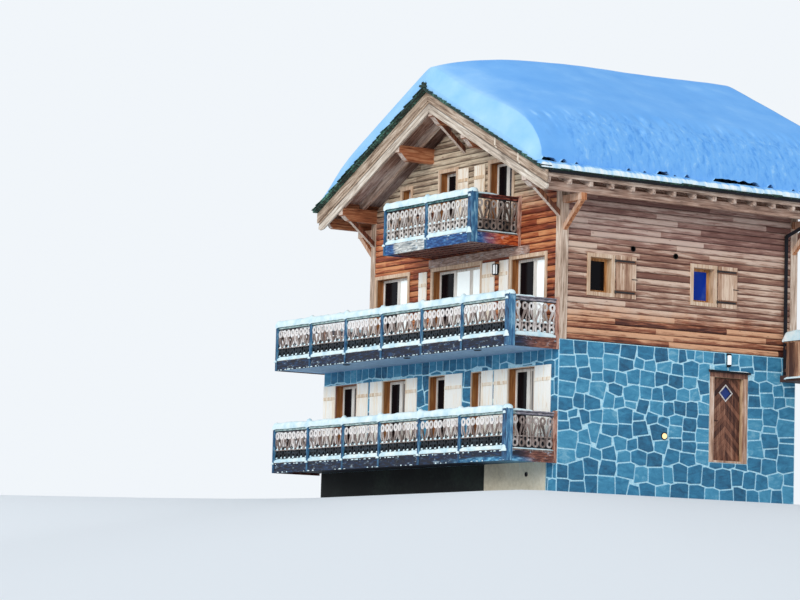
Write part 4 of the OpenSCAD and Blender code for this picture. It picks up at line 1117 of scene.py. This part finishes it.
# Carved balcony rails: each strap has points of place, height and width
LEANING_STRAP = [(-0.03, 0.62, 0.05), (-0.016, 0.57, 0.075), (0.01, 0.5, 0.06), (0.045, 0.42, 0.05),
    (0.07, 0.33, 0.058)]
STRAP_FOOT = [(0.07, 0.33, 0.058), (0.078, 0.24, 0.056), (0.06, 0.17, 0.05)]
STRAND = [(-0.055, 0.64, 0.03), (-0.075, 0.59, 0.034), (-0.081, 0.52, 0.032), (-0.066, 0.44, 0.03),
    (-0.035, 0.38, 0.026)]
STRAND_FOOT = [(-0.03, 0.19, 0.045), (-0.042, 0.26, 0.05), (-0.055, 0.33, 0.045), (-0.076, 0.4, 0.022)]
RAIL_IN = 0.06
RAIL_Y = -1.39
SIDE_RAIL_Y = -1.334
SIDE_RAIL = 1.19
BACK_RAIL = 2.249
TERRACE_BAYS = 5


def carved_board(build, low, place, u, step, side, head, body):
    """One board: a round head, a strap that leans to one side, a thin strand and a looped foot."""
    k = step / BOARD_STEP * side

    def local(x, w, z):
        return place(u + x * k, w, 0.038 + z)

    ring(build, local, (-0.006, 0.68), (0.088, 0.098), (0.038, 0.05), 0.012, head, 0.25)
    # The lower ring and straps go to low, which is painted near black as painted shade on the lower and
    # middle fronts
    ring(low, local, (0.004, 0.15), (0.094, 0.1), (0.046, 0.054), 0.012, body + 0.1, -0.2)
    strap(build, local, LEANING_STRAP, 0.01, body)
    strap(low, local, STRAP_FOOT, 0.01, body, 6)
    strap(build, local, STRAND, 0.008, (head + body) / 2, 8)
    strap(low, local, STRAND_FOOT, 0.009, body, 8)


def rail_panel(builds, place, length, frost, body=0.3):
    """Carved boards between two posts, with a near-black board low behind them as painted shade, a mid rail
    and the handrail with painted shadow strips below it.
    """
    woods, rails, painted_shade_parts, caps = builds
    boards = max(2, round(length / BOARD_STEP))
    step = length / boards
    front = frost > 0.7
    # On the lower and middle fronts the boards' lower loops are painted near black as painted shade
    low = painted_shade_parts if front and body < 0.5 else woods
    ledge = (0.03, 0.05, 0.07, 0.035, 0.25) if front else (0.024, 0.05, 0.02, 0.01, 0.5)
    drift(caps, place, 0, length, *ledge)
    for i in range(boards):
        side = 1 if i % 2 == 0 else -1
        middle = (i + 0.5) * step
        shade = 0.12 * math.sin(i * 2.3 + length * 7)
        carved_board(woods, low, place, middle, step, side, frost + shade, body + shade)
        if front:
            wobble = 0.25 * math.sin(i * 3.7 + length * 5)
            at = (i + 0.5 + 0.1 * wobble) * step
            lump(caps, place, (at, 0.002, 0.352), (0.05 * (1 + wobble), 0.022, 0.045))
            lump(caps, place, (middle - side * 0.014, 0.004, 0.128), (0.046, 0.018, 0.04 * (1 - wobble)))
            lump(caps, place, (middle - side * 0.02, 0.004, 0.79), (0.035 * (1 - wobble), 0.012, 0.016))
    # Foot rail, mid rail, the near-black board behind the foot as painted shade, and the handrail's two
    # boards with painted shadow strips below them
    for build, tint, *profile in (
        (woods, body, -0.025, 0, 0.025, 0.05, 0.006),
        (woods, body + 0.1, -0.017, 0.33, 0.017, 0.356, 0.004),
        (painted_shade_parts, 0.5, -0.046, 0.05, -0.03, 0.33, 0.004),
        (painted_shade_parts, 0.5, -0.03, RAIL_H - 0.118, 0.019, RAIL_H - 0.1, 0.003),
        (rails, 0.5, -0.024, RAIL_H - 0.1, 0.024, RAIL_H - 0.042, 0.006),
        (painted_shade_parts, 0.5, -0.03, RAIL_H - 0.044, 0.03, RAIL_H - 0.032, 0.003),
        (rails, 0.5, -0.058, RAIL_H - 0.034, 0.058, RAIL_H, 0.01),
    ):
        bar(build, place, 0, length, rounded(*profile), tint)


def add_terrace_rails(builds, x, z):
    """Panels along the terrace on the left and across its back end, with snow on both."""
    for i in range(TERRACE_BAYS):
        y0 = i * HOUSE_D / TERRACE_BAYS + SLIM / 2
        y1 = (i + 1) * HOUSE_D / TERRACE_BAYS - SLIM / 2 - (RAIL_IN if i == TERRACE_BAYS - 1 else 0)
        rail_panel(builds, spot(x, y0, z, BACK, LEFT), y1 - y0, 0.5)
    end = -TIMBER_W - 0.015
    y = HOUSE_D - RAIL_IN
    half = (BACK_RAIL - SLIM) / 2
    for start in (end - BACK_RAIL, end - half):
        rail_panel(builds, spot(start, y, STONE_H, RIGHT, BACK), half, 0.5)
    caps = builds[-1]
    drift(caps, spot(x, 0, z, BACK, LEFT), RAIL_Y, HOUSE_D - 0.03, 0.055, RAIL_H, 0.09, 0.03)
    drift(caps, spot(0, y, STONE_H, RIGHT, BACK), end - BACK_RAIL, end, 0.055, RAIL_H, 0.09, 0.03)


def add_rail_snow(caps, level, stops, z):
    """Snow on one balcony's handrail, corner post and fascia."""
    right, left = stops[0][0], stops[-1][1]
    corner = -right - CORNER / 2
    posts = [left - (a + b) / 2 for a, b in stops]
    drift(caps, spot(-left, RAIL_Y, z, RIGHT, FRONT), 0.0, left - right - CORNER, 0.066, RAIL_H - 0.002,
        0.125, 0.05, 0.16, posts)
    for up, size in ((RAIL_H - 0.09, 0.06), (0.02, 0.1)):
        place = spot(corner, -BALCONY_D - 0.012, z + up, RIGHT, BACK)
        lump(caps, place, (0, 0, 0), (size * 0.8, 0.03, size), 4, 12)
    place = spot(corner, -BALCONY_D + 0.09, z + RAIL_H + 0.03, RIGHT, BACK)
    lump(caps, place, (0, 0, 0), (0.125, 0.125, 0.1), 5, 16)
    drift(caps, spot(-right - RAIL_IN, -BALCONY_D + CORNER, z, BACK, RIGHT), 0.0, 0.55, 0.05, RAIL_H - 0.002,
        0.035, 0.012, 0.5)
    for x in [corner] + [-(a + b) / 2 for a, b in stops[1:]]:
        wide, high = (0.1, 0.09) if x == corner else (0.05, 0.05)
        lump(caps, spot(x, -BALCONY_D - 0.01, z - 0.02, RIGHT, BACK), (0, 0, 0), (wide, 0.035, high), 4, 12)
    # Small heaps at uneven places along the fascia's upper and lower edges
    for i in range(6 if level == "top" else int((left - right) * 6)):
        u = right + 0.1 + (left - right - 0.2) * ((i * 0.618034) % 1)
        foot = level == "middle" or i % 3 == 0
        size = (0.02 + 0.05 * ((i * 0.37) % 1) ** 2, 0.014, 0.012 + 0.02 * ((i * 0.73) % 1))
        place = spot(-u, -BALCONY_D - 0.004, z, RIGHT, BACK)
        lump(caps, place, (0, 0, -0.245 if foot else -0.03), size, 3, 8)


def add_railings():
    long_stops = [(0, CORNER)] + [(m - SLIM / 2, m + SLIM / 2) for m in BAYS] + [(LEFT_END - SLIM, LEFT_END)]
    top_stops = [(TOP_RIGHT, TOP_RIGHT + CORNER), (TOP_MID - SLIM / 2, TOP_MID + SLIM / 2),
        (TOP_LEFT - SLIM, TOP_LEFT)]
    rails, painted_shade_parts, caps = Build(), Build(), Build()
    for level, stops in (("lower", long_stops), ("middle", long_stops), ("top", top_stops)):
        woods = Build()
        builds = (woods, rails, painted_shade_parts, caps)
        z = FOOTS[level]
        middle = level == "middle"
        for near, far in zip(stops, stops[1:]):
            rail_panel(builds, spot(-far[0], RAIL_Y, z, RIGHT, FRONT), far[0] - near[1], 0.88,
                0.6 if level == "top" else 0.4)
        side = spot(-stops[0][0] - RAIL_IN, -BALCONY_D + CORNER, z, BACK, RIGHT)
        rail_panel(builds, side, SIDE_RAIL, *((0.75, 0.55) if middle else (0.5, 0.35)))
        left_x = -stops[-1][1] + RAIL_IN
        run = (-SLIM / 2 if middle else -0.08) - SIDE_RAIL_Y
        rail_panel(builds, spot(left_x, SIDE_RAIL_Y, z, BACK, LEFT), run, 0.5, 0.3)
        if middle:
            add_terrace_rails(builds, left_x, z)
        add_rail_snow(caps, level, stops, z)
        piece = woods.done("carved_rails_" + level, rail_wood, "fretwork")
        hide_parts(level + "_railing_panels")
    rails.done("handrails", handrail, "fretwork")
    painted_shade_parts.done("railing_painted_shade", painted_shade_board, "fretwork")
    caps.done("railing_snow", bright_snow, "snow", smooth=True)


# Window panes, with the leaf that shows the dark room left of the others
LEAF_MAX, STILE, LINING = 0.8, 0.065, 0.022
PANE_Y, PANE_BOW = 0.219, 0.0015


def pane_leaves(build, place, width, height, trim, tints):
    """Slightly bowed panes, one a leaf, each with a flat back."""
    x0 = trim + LINING
    n = max(1, math.ceil((width - 2 * trim - 2 * LINING) / LEAF_MAX))
    step = (width - 2 * x0) / n
    z0, z1 = trim + LINING + STILE, height - trim - LINING - STILE
    nx, nz = 3, 6
    for i in range(n):
        a = x0 + i * step + (0.001 if i else 0) + STILE
        b = x0 + (i + 1) * step - STILE
        tint = tints[min(i, len(tints) - 1)]
        verts = []
        for p in range(nx + 1):
            for q in range(nz + 1):
                bow = PANE_BOW * math.sin(math.pi * p / nx) * math.sin(math.pi * q / nz)
                verts.append(place(a + (b - a) * p / nx, PANE_Y - bow, z0 + (z1 - z0) * q / nz))
        build.add(verts, grid_faces(nx + 1, nz + 1), tint)
        rim = rounded(a, z0, b, z1, 0.002)
        k = len(rim)
        back = [place(u, y, v) for y in (0.2195, 0.238) for u, v in rim]
        build.add(back, loop_faces(k, 0, k) + [tuple(range(k, 2 * k))], tint)


def add_panes():
    build = Build()
    # Tints up to about 0.3 show the dark room, 0.39 to 0.43 a curtain, and higher ones a painted reflection
    # of the dusk sky
    for a, b in LOW_WINDOWS:
        pane_leaves(build, spot(-b, 0, FLOOR_LOW, RIGHT, BACK), b - a, LOW_WINDOW_H, 0.0, [0.1, 0.41])
    high = MIDDLE_HEAD + TRIM - STONE_H + TRIM
    for a, b in MID_WINDOWS:
        pane_leaves(build, spot(-b, 0, STONE_H - TRIM, RIGHT, BACK), b - a, high, TRIM, [0.06, 1.0])
    for a, b, high in TOP_WINDOWS:
        place = spot(-b, 0, FLOOR_TOP - TRIM, RIGHT, BACK)
        pane_leaves(build, place, b - a, high + 2 * TRIM, TRIM, [0.08, 0.3])
    for y0, tint in ((0.764, 0.02), (3.863, 0.5)):
        pane_leaves(build, spot(0, y0, SIDE_SILL, BACK, LEFT), SIDE_W, SIDE_H, TRIM, [tint])
        pane_leaves(build, spot(-TIMBER_W, y0, SIDE_SILL, BACK, RIGHT), SIDE_W, SIDE_H, TRIM, [0.3])
    for a, z, high in BACK_WINDOWS:
        pane_leaves(build, spot(-a - SIDE_W, HOUSE_D, z, RIGHT, FRONT), SIDE_W, high, TRIM, [0.25])
    piece = build.done("window_panes", panes, "window_glass")
    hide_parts("window_glass")


# Shutters of upright boards with ledges, and iron straps on the side ones
def shutter_boards(build, place, width, height, tint, wide, rng):
    n = max(2, round(width / wide))
    step = width / n
    for i in range(n):
        shade = tint + rng.uniform(-0.2, 0.2)
        bar(build, flat_up(place), 0.0, height,
            rounded(i * step + 0.0015, 0.004, (i + 1) * step - 0.0015, 0.032, 0.004), shade)
    for share in (0.1, 0.82):
        z = height * share
        bar(build, place, 0.02, width - 0.02, rounded(0.03, z, 0.05, z + 0.085, 0.006), tint - 0.5)


def strap_hinges(irons, place, width, height):
    for z in (height * 0.13, height * 0.87):
        bar(irons, place, -0.03, width - 0.06, rounded(0.05, z - 0.022, 0.057, z + 0.022, 0.002))
        bar(irons, stood(place, -0.03, z), -0.035, 0.035, rounded(0.03, -0.016, 0.062, 0.016, 0.006))
    z = height * 0.46
    bar(irons, place, width - 0.14, width + 0.03, rounded(0.034, z - 0.01, 0.042, z + 0.01, 0.002))


def shutter_catch(irons, place, width, height):
    z = height * 0.42
    bar(irons, place, width - 0.09, width - 0.02, rounded(0.034, z - 0.012, 0.046, z + 0.012, 0.003))
    stay = stood(place, width - 0.05, height * 0.4)
    bar(irons, stay, 0.0, 0.08, rounded(0.032, -0.008, 0.04, 0.008, 0.002))
    bar(irons, flat_up(place), 0.0, height, rounded(-0.022, 0.0, -0.004, 0.012, 0.003))


def add_shutters():
    front, side, irons = Build(), Build(), Build()
    rng = random.Random(12)
    for pairs, z, high, tint in ((LOW_SHUTTERS, FLOOR_LOW, LOW_WINDOW_H, 0.85),
        (MID_SHUTTERS, STONE_H, 14 * LOG_H, 0.8), (TOP_SHUTTERS, FLOOR_TOP + 0.02, TOP_SHUTTER_H, 0.5)):
        for a, b in pairs:
            place = spot(-b, 0, z, RIGHT, FRONT)
            shutter_boards(front, place, b - a, high, tint, 0.21, rng)
            if high > 2.0:
                shutter_catch(irons, place, b - a, high)
    for y0 in SIDE_SHUTTERS:
        for x, out in ((0, RIGHT), (-TIMBER_W, LEFT)):
            place = spot(x, y0, SIDE_SILL, BACK, out)
            shutter_boards(side, place, SIDE_SHUTTER_W, SIDE_H, 0.55, 0.11, rng)
            strap_hinges(irons, place, SIDE_SHUTTER_W, SIDE_H)
    piece = front.done("shutter_boards", shutter_wood, "shutter_wood")
    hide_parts("shutters")
    side.done("side_shutter_boards", side_shutter_wood, "shutter_wood")
    irons.done("shutter_straps", strap_iron, "vent")


# Side door boards, which lie at 45 degrees and leave a square window on its corner
DOOR_Y0, DOOR_Y1, DOOR_FOOT = 4.66, 5.55, 1.11
DIAMOND = Vector(((DOOR_Y0 + DOOR_Y1) / 2, 2.77))
DIAMOND_HALF = 0.155
DOOR_FACE = -0.131


def slab_of(build, place, outline, w0, w1, tint=0.5):
    """A flat outline given thickness, with its outer edge eased."""
    top = inset(outline, 0.003)
    n = len(outline)
    if n < 3 or len(top) != n:
        return
    verts = [place(p.x, w, p.y) for w in (w0, w1 - 0.003) for p in outline]
    verts += [place(p.x, w1, p.y) for p in top]
    build.add(verts, loop_faces(n, 0, n) + loop_faces(n, n, 2 * n) + [tuple(range(2 * n, 3 * n))], tint)


def door_strips(half):
    """Half of the door cut into slanted strips, without the window."""
    size = DIAMOND_HALF
    step = 2 * size / 3
    for i in range(-18, 18):
        t0, t1 = i * step - size, (i + 1) * step - size
        strip = clip(half, Vector((0, t0 + 0.002)), Vector((0, -1)))
        if len(strip) > 2:
            strip = clip(strip, Vector((0, t1 - 0.002)), Vector((0, 1)))
        parts = [strip]
        if abs(t0 + t1) / 2 < size + 0.01 and len(strip) > 2:
            parts = [clip(strip, Vector((-turn * size, 0)), Vector((turn, 0))) for turn in (1, -1)]
        yield from (part for part in parts if len(part) > 2 and area(part) > 0.0005)


def add_door_boards():
    boards, trim = Build(), Build()
    rng = random.Random(5)
    root = math.sqrt(0.5)
    reach, door_head = (DOOR_Y1 - DOOR_Y0) / 2, DOOR_TOP - 0.12
    place = spot(0, DIAMOND.x, DIAMOND.y, BACK, RIGHT)
    corners = [Vector(p) - Vector((0, DIAMOND.y))
        for p in ((-reach, DOOR_FOOT), (0, DOOR_FOOT), (0, door_head), (-reach, door_head))]
    half = [Vector(((c.x + c.y) * root, (c.y - c.x) * root)) for c in corners]
    for mirror in (1, -1):
        for part in door_strips(half):
            flat = [Vector(((p.x - p.y) * root * mirror, (p.x + p.y) * root)) for p in part]
            slab_of(boards, place, flat[::mirror], DOOR_FACE, -0.12, 0.38 + rng.uniform(-0.16, 0.16))
    inner, outer = 0.125, DIAMOND_HALF
    for k in range(4):
        turn = Matrix.Rotation(math.radians(45 + 90 * k), 2)
        ends = ((-inner, inner), (-outer, outer), (outer, outer), (inner, inner))
        shape = [turn @ Vector(p) for p in ends]
        slab_of(trim, place, shape[::-1], DOOR_FACE, -0.108)
    boards.done("side_door_boards", door_wood, "door_wood", body="side_door")
    trim.done("side_door_window_frame", white_trim, "sash_paint", body="side_door")


# Lamps
SIDE_LAMP_Y = 5.06
SOFFIT_SPOTS = [-1.83, -5.0, -7.9]
SOFFIT_REACH = 1.4


def add_lanterns():
    """A round lantern over the side door and a square one by the middle windows."""
    glass, metal = Build(), Build()
    side = spot(0.075, SIDE_LAMP_Y, DOOR_TOP + 0.2, RIGHT, BACK)
    lathe(glass, side, [(0.0, 0.0), (0.044, 0.004), (0.05, 0.02), (0.05, 0.22), (0.045, 0.235), (0.0, 0.24)])
    lathe(metal, side, [(0.0, -0.045), (0.03, -0.04), (0.052, -0.01), (0.052, 0.002), (0.0, 0.002)])
    lathe(metal, side, [(0.0, 0.238), (0.054, 0.24), (0.054, 0.262), (0.03, 0.28), (0.0, 0.284)])
    bracket = spot(0, SIDE_LAMP_Y, DOOR_TOP + 0.15, UP, RIGHT, BACK)
    bar(metal, bracket, 0.0, 0.34, rounded(0.0, -0.04, 0.03, 0.04, 0.004))
    front = spot(-2.62, -0.06, 5.47, RIGHT, FRONT)
    plates = ((0.0, 0.27, 0.025, 0.075), (0.25, 0.275, 0.1, 0.07), (0.0, 0.022, 0.1, 0.07))
    for z0, z1, out, half in plates:
        bar(metal, stood(front), z0, z1, rounded(0.0, -half, out, half, 0.006))
    for u in (-0.062, 0.062):
        bar(metal, stood(front, u), 0.02, 0.26, rounded(0.085, -0.008, 0.1, 0.008, 0.002))
    bar(glass, stood(front), 0.023, 0.249, rounded(0.026, -0.052, 0.09, 0.052, 0.012))
    piece = metal.done("lamp_metal", gutter_paint, "lantern")
    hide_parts("wall_lanterns")
    glass.done("lamp_glass", lamp_glass, "lantern")


def add_wall_lamp():
    """A round lamp in the stone of the side wall."""
    warm, rim = Build(), Build()
    wall = spot(0.012, 3.14, 1.6, BACK, UP, RIGHT)
    lathe(warm, wall, [(0.07, 0.012), (0.066, 0.035), (0.045, 0.055), (0.02, 0.062), (0.0, 0.063)])
    warm.done("wall_lamp_glass", warm_lamp, "lantern")
    profile = [(0.072, -0.01), (0.09, -0.01), (0.09, 0.018), (0.08, 0.024), (0.07, 0.02), (0.07, 0.0)]
    lathe(rim, wall, profile, 24)
    rim.done("wall_lamp_rim", gutter_paint, "lantern")


def add_soffit_spots():
    spots = Build()
    for x in SOFFIT_SPOTS:
        lathe(spots, spot(x, -1.1, SLAB_UNDER + 0.004, (SOFFIT_REACH, 0, 0), BACK, DOWN),
            [(0.0, 0.022), (0.07, 0.022), (0.085, 0.012), (0.09, 0.0)])
    spots.done("soffit_spots", gutter_paint, "lantern")


# Slates
VERGE_ROWS = 25


def verge_slate(build, sign, a, b, y0, y1, lift):
    """One slate along a verge, from a to b down the slope."""
    corners = []
    for y in (y0, y1):
        for s, up in ((a, -0.006), (b, 0.016 + lift), (b, 0.038 + lift), (a, 0.008)):
            x = RIDGE_X + sign * (s * math.cos(LEAN) + up * math.sin(LEAN))
            corners.append((x, y, SLATE_APEX - s * math.sin(LEAN) + up * math.cos(LEAN) - 0.006))
    build.add(corners, BLOCK_FACES)


def eave_slate(build, sign, y0, y1, out, drop):
    """One slate along an eave."""
    corners = []
    for y in (y0, y1):
        for e, up in ((0.5, 0.004), (0.0, 0.014), (0.0, -0.024), (0.5, 0.0)):
            corners.append((RIDGE_X + sign * (out - e), y, SLATE_APEX - SLOPE * (out - e) + up - drop))
    build.add(corners, BLOCK_FACES)


def add_slates():
    """Stepped slates along the verges and eaves, and the last ridge slates."""
    build = Build()
    rng = random.Random(9)
    pitch = (HALF_SPAN + 0.02) / math.cos(LEAN) / VERGE_ROWS
    for sign in (1, -1):
        for i in range(VERGE_ROWS):
            for y0, y1 in ((ROOF_Y0 - 0.025, ROOF_Y0 + 0.3), (ROOF_Y1 - 0.3, ROOF_Y1 + 0.02)):
                foot = (i + 1) * pitch + rng.uniform(0.0, 0.03)
                lift = rng.uniform(-0.012, 0.016)
                front = y0 + rng.uniform(-0.014, 0.03) if y0 < 0 else y0
                verge_slate(build, sign, i * pitch - 0.03, foot, front, y1, lift)
        y = ROOF_Y0 + 0.3
        while y < ROOF_Y1 - 0.34:
            wide = rng.uniform(0.24, 0.4)
            out = HALF_SPAN + rng.uniform(0.025, 0.05)
            eave_slate(build, sign, y, y + wide - 0.006, out, rng.uniform(0.0, 0.012))
            y += wide
    for k, (turn, up) in enumerate(((0.12, 0.0), (-0.2, 0.035), (0.26, 0.07), (-0.05, 0.1))):
        at = Vector((RIDGE_X, ROOF_Y0 + 0.06 + 0.02 * k, SLATE_APEX + 0.03 + up))
        spin = Matrix.Translation(at) @ Matrix.Rotation(turn, 4, "Y")
        half = 0.17 - 0.025 * k
        outline = ((-half, -0.02), (half, -0.026), (half - 0.03, 0.03), (0.03 - half, 0.034))
        build.add([spin @ Vector((x, y, z)) for y in (-0.08, 0.12) for x, z in outline], BLOCK_FACES)
    build.done("verge_and_eave_slates", slate, "roofing")


# Landing, terrace and door cap
SHEET_STEP = 0.14
CAP_Y0, CAP_Y1 = 4.47, 5.74


def add_parapet(caps):
    """Upright boards with ledges, a cap board and posts, and snow on top."""
    low, high = house_box("landing_parapet")
    boards = Build()
    rng = random.Random(3)
    x, foot, top = 0.28, low.z, high.z - 0.04
    while x < high.x - 0.03:
        wide = rng.uniform(0.1, 0.14)
        bar(boards, spot(x, low.y, foot, UP, BACK, RIGHT), rng.uniform(0.0, 0.03), top - foot,
            rounded(0.0, 0.0, 0.022, min(wide, high.x - x) - 0.008, 0.004), rng.random())
        x += wide
    for z in (foot + 0.2, top - 0.16):
        ledge = spot(0, low.y + 0.022, z, RIGHT, BACK)
        bar(boards, ledge, 0.2, high.x, rounded(0.0, 0.0, 0.04, 0.08, 0.006), 0.3)
    bar(boards, spot(0, low.y, top, RIGHT, BACK), 0.2, high.x, rounded(-0.01, 0.0, 0.12, 0.035, 0.008), 0.5)
    for x in (0.24, high.x - 0.1):
        bar(boards, spot(x, low.y + 0.022, foot + 0.1, UP, BACK, RIGHT), 0.0, top - foot - 0.1,
            rounded(0.0, 0.0, 0.08, 0.09, 0.008), 0.2)
    drift(caps, spot(0, low.y + 0.05, top + 0.03, RIGHT, BACK), 0.16, high.x, 0.085, 0.0, 0.26, 0.03, 0.12)
    drift(caps, spot(0, low.y - 0.01, foot + 0.02, RIGHT, BACK), 0.25, high.x, 0.03, 0.0, 0.05, 0.02, 0.3)
    piece = boards.done("parapet_boards", parapet_wood, "landing_wood")
    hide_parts("landing_parapet")


def snow_sheet(build, x0, x1, y0, y1, z, deep):
    """A flat layer of snow that thins out towards its edges."""
    step = SHEET_STEP
    nx, ny = max(2, round((x1 - x0) / step)), max(2, round((y1 - y0) / step))
    verts = []
    for i in range(nx + 1):
        for j in range(ny + 1):
            x, y = x0 + (x1 - x0) * i / nx, y0 + (y1 - y0) * j / ny
            rim = min(1.0, min(i, nx - i, j, ny - j) / 1.5)
            swell = 1 + 0.25 * noise.noise(Vector((x * 1.4, y * 1.4, z)))
            verts.append((x, y, z + deep * rim ** 0.5 * swell))
    build.add(verts, grid_faces(nx + 1, ny + 1))


def add_landing_and_terrace():
    caps = Build()
    add_parapet(caps)
    left = -LEFT_END + 0.12
    snow_sheet(caps, left, -TIMBER_W - 0.02, 0.1, HOUSE_D - 0.1, STONE_H, 0.13)
    for floor in (FLOOR_LOW, STONE_H):
        snow_sheet(caps, left, -0.12, -BALCONY_D + 0.14, -0.35, floor, 0.05)
    low, high = house_box("side_landing")
    snow_sheet(caps, 0.12, high.x - 0.02, low.y + 0.12, high.y - 0.02, high.z, 0.12)
    caps.done("terrace_and_landing_snow", bright_snow, "snow", smooth=True)


def add_door_cap():
    """Drip cap over the side door and snow on its ledge."""
    metal, caps = Build(), Build()
    sheet = [(0.0, 0.0), (0.075, 0.0), (0.075, 0.012), (0.0, 0.035)]
    bar(metal, spot(0, 0, DOOR_TOP + 0.03, BACK, RIGHT), CAP_Y0, CAP_Y1, sheet)
    lip = rounded(0.062, 0.0, 0.075, 0.03, 0.003)
    bar(metal, spot(0, 0, DOOR_TOP, BACK, RIGHT), CAP_Y0, CAP_Y1, lip)
    metal.done("door_drip_cap", gutter_paint, "gutter_metal")
    drift(caps, spot(0.03, 0, DOOR_TOP + 0.05, BACK, RIGHT), 5.1, 5.7, 0.024, 0.0, 0.02, 0.0, 0.5)
    caps.done("door_cap_snow", bright_snow, "snow", smooth=True)


add_stones()
add_basement_plaster()
add_basement_pipe()
add_roof_snow()
add_eave_snow("right", 1)
add_eave_snow("left", -1)
add_railings()
add_panes()
add_shutters()
add_door_boards()
add_lanterns()
add_wall_lamp()
add_soffit_spots()
add_slates()
add_landing_and_terrace()
add_door_cap()

# Camera, floor and lights
CAMERA = Vector((59.51517, -41.76632, -3.16365)) + OFFSET
YAW, PITCH, ROLL = (math.radians(a) for a in (57.9335, 6.0734, 1.5155))
LENS = 138.44
FLAT_X, FLAT_Y = 7.1, 5.9
FLOOR_HALF, FLOOR_CELLS = 110.0, 120
SUN_WAY = Vector((-0.45, 0.85, -0.3))


def add_camera():
    forward = Vector((-math.sin(YAW) * math.cos(PITCH), math.cos(YAW) * math.cos(PITCH), math.sin(PITCH)))
    right = Vector((math.cos(YAW), math.sin(YAW), 0))
    up = right.cross(forward)
    side = right * math.cos(ROLL) + up * math.sin(ROLL)
    head = up * math.cos(ROLL) - right * math.sin(ROLL)
    data = bpy.data.cameras.new("camera")
    data.sensor_width = 36
    data.lens = LENS
    data.clip_end = 600
    camera = bpy.data.objects.new("camera", data)
    camera.matrix_world = Matrix.Translation(CAMERA) @ Matrix((side, head, -forward)).transposed().to_4x4()
    bpy.context.scene.collection.objects.link(camera)
    bpy.context.scene.camera = camera


def add_floor():
    """Level around the house, and falling away where the camera stands below it."""
    m = Look("pale floor")
    lit = m.signal("ShaderNodeLightPath", "Is Camera Ray", {})
    m.finish(m.mix(lit, "d5dde4", "e6edf3"), 0.9)
    toward = Vector((CAMERA.x, CAMERA.y)).normalized()
    n, size = FLOOR_CELLS, FLOOR_HALF
    verts = []
    for i in range(n + 1):
        for j in range(n + 1):
            u, v = (2 * i / n - 1), (2 * j / n - 1)
            x, y = size * u * abs(u), size * v * abs(v)
            out = math.hypot(max(0, abs(x) - FLAT_X), max(0, abs(y) - FLAT_Y))
            side = Vector((x, y)).dot(toward) / max(0.01, math.hypot(x, y))
            share = min(1, max(0, (side + 0.1) / 0.6))
            share = share * share * (3 - 2 * share)
            verts.append((x, y, -0.2 * share * out * out / (out + 2.0)))
    mesh = bpy.data.meshes.new("floor")
    mesh.from_pydata(verts, [], grid_faces(n + 1, n + 1))
    mesh.polygons.foreach_set("use_smooth", [True] * len(mesh.polygons))
    mesh.materials.append(m.material)
    floor = bpy.data.objects.new("floor", mesh)
    bpy.context.scene.collection.objects.link(floor)


def add_lights():
    """An even sky, which the camera sees a little paler than the house does, and a soft sun."""
    world = bpy.data.worlds.new("world")
    bpy.context.scene.world = world
    world.use_nodes = True
    tree = world.node_tree
    back = tree.nodes["Background"]
    seen = tree.nodes.new("ShaderNodeBackground")
    for sky, colour, strength in ((back, (0.93, 0.96, 1.0, 1), 0.76), (seen, (0.88, 0.92, 0.96, 1), 1.0)):
        sky.inputs["Color"].default_value = colour
        sky.inputs["Strength"].default_value = strength
    path = tree.nodes.new("ShaderNodeLightPath")
    both = tree.nodes.new("ShaderNodeMixShader")
    for i, output in enumerate((path.outputs["Is Camera Ray"], back.outputs[0], seen.outputs[0])):
        tree.links.new(output, both.inputs[i])
    tree.links.new(both.outputs[0], tree.nodes["World Output"].inputs[0])
    data = bpy.data.lights.new("key", "SUN")
    data.energy = 1.5
    data.angle = math.radians(25)
    data.color = (1.0, 0.98, 0.95)
    key = bpy.data.objects.new("key", data)
    key.rotation_euler = SUN_WAY.to_track_quat("-Z", "Y").to_euler()
    bpy.context.scene.collection.objects.link(key)


add_camera()
add_floor()
add_lights()
bpy.context.scene.view_settings.view_transform = "Standard"
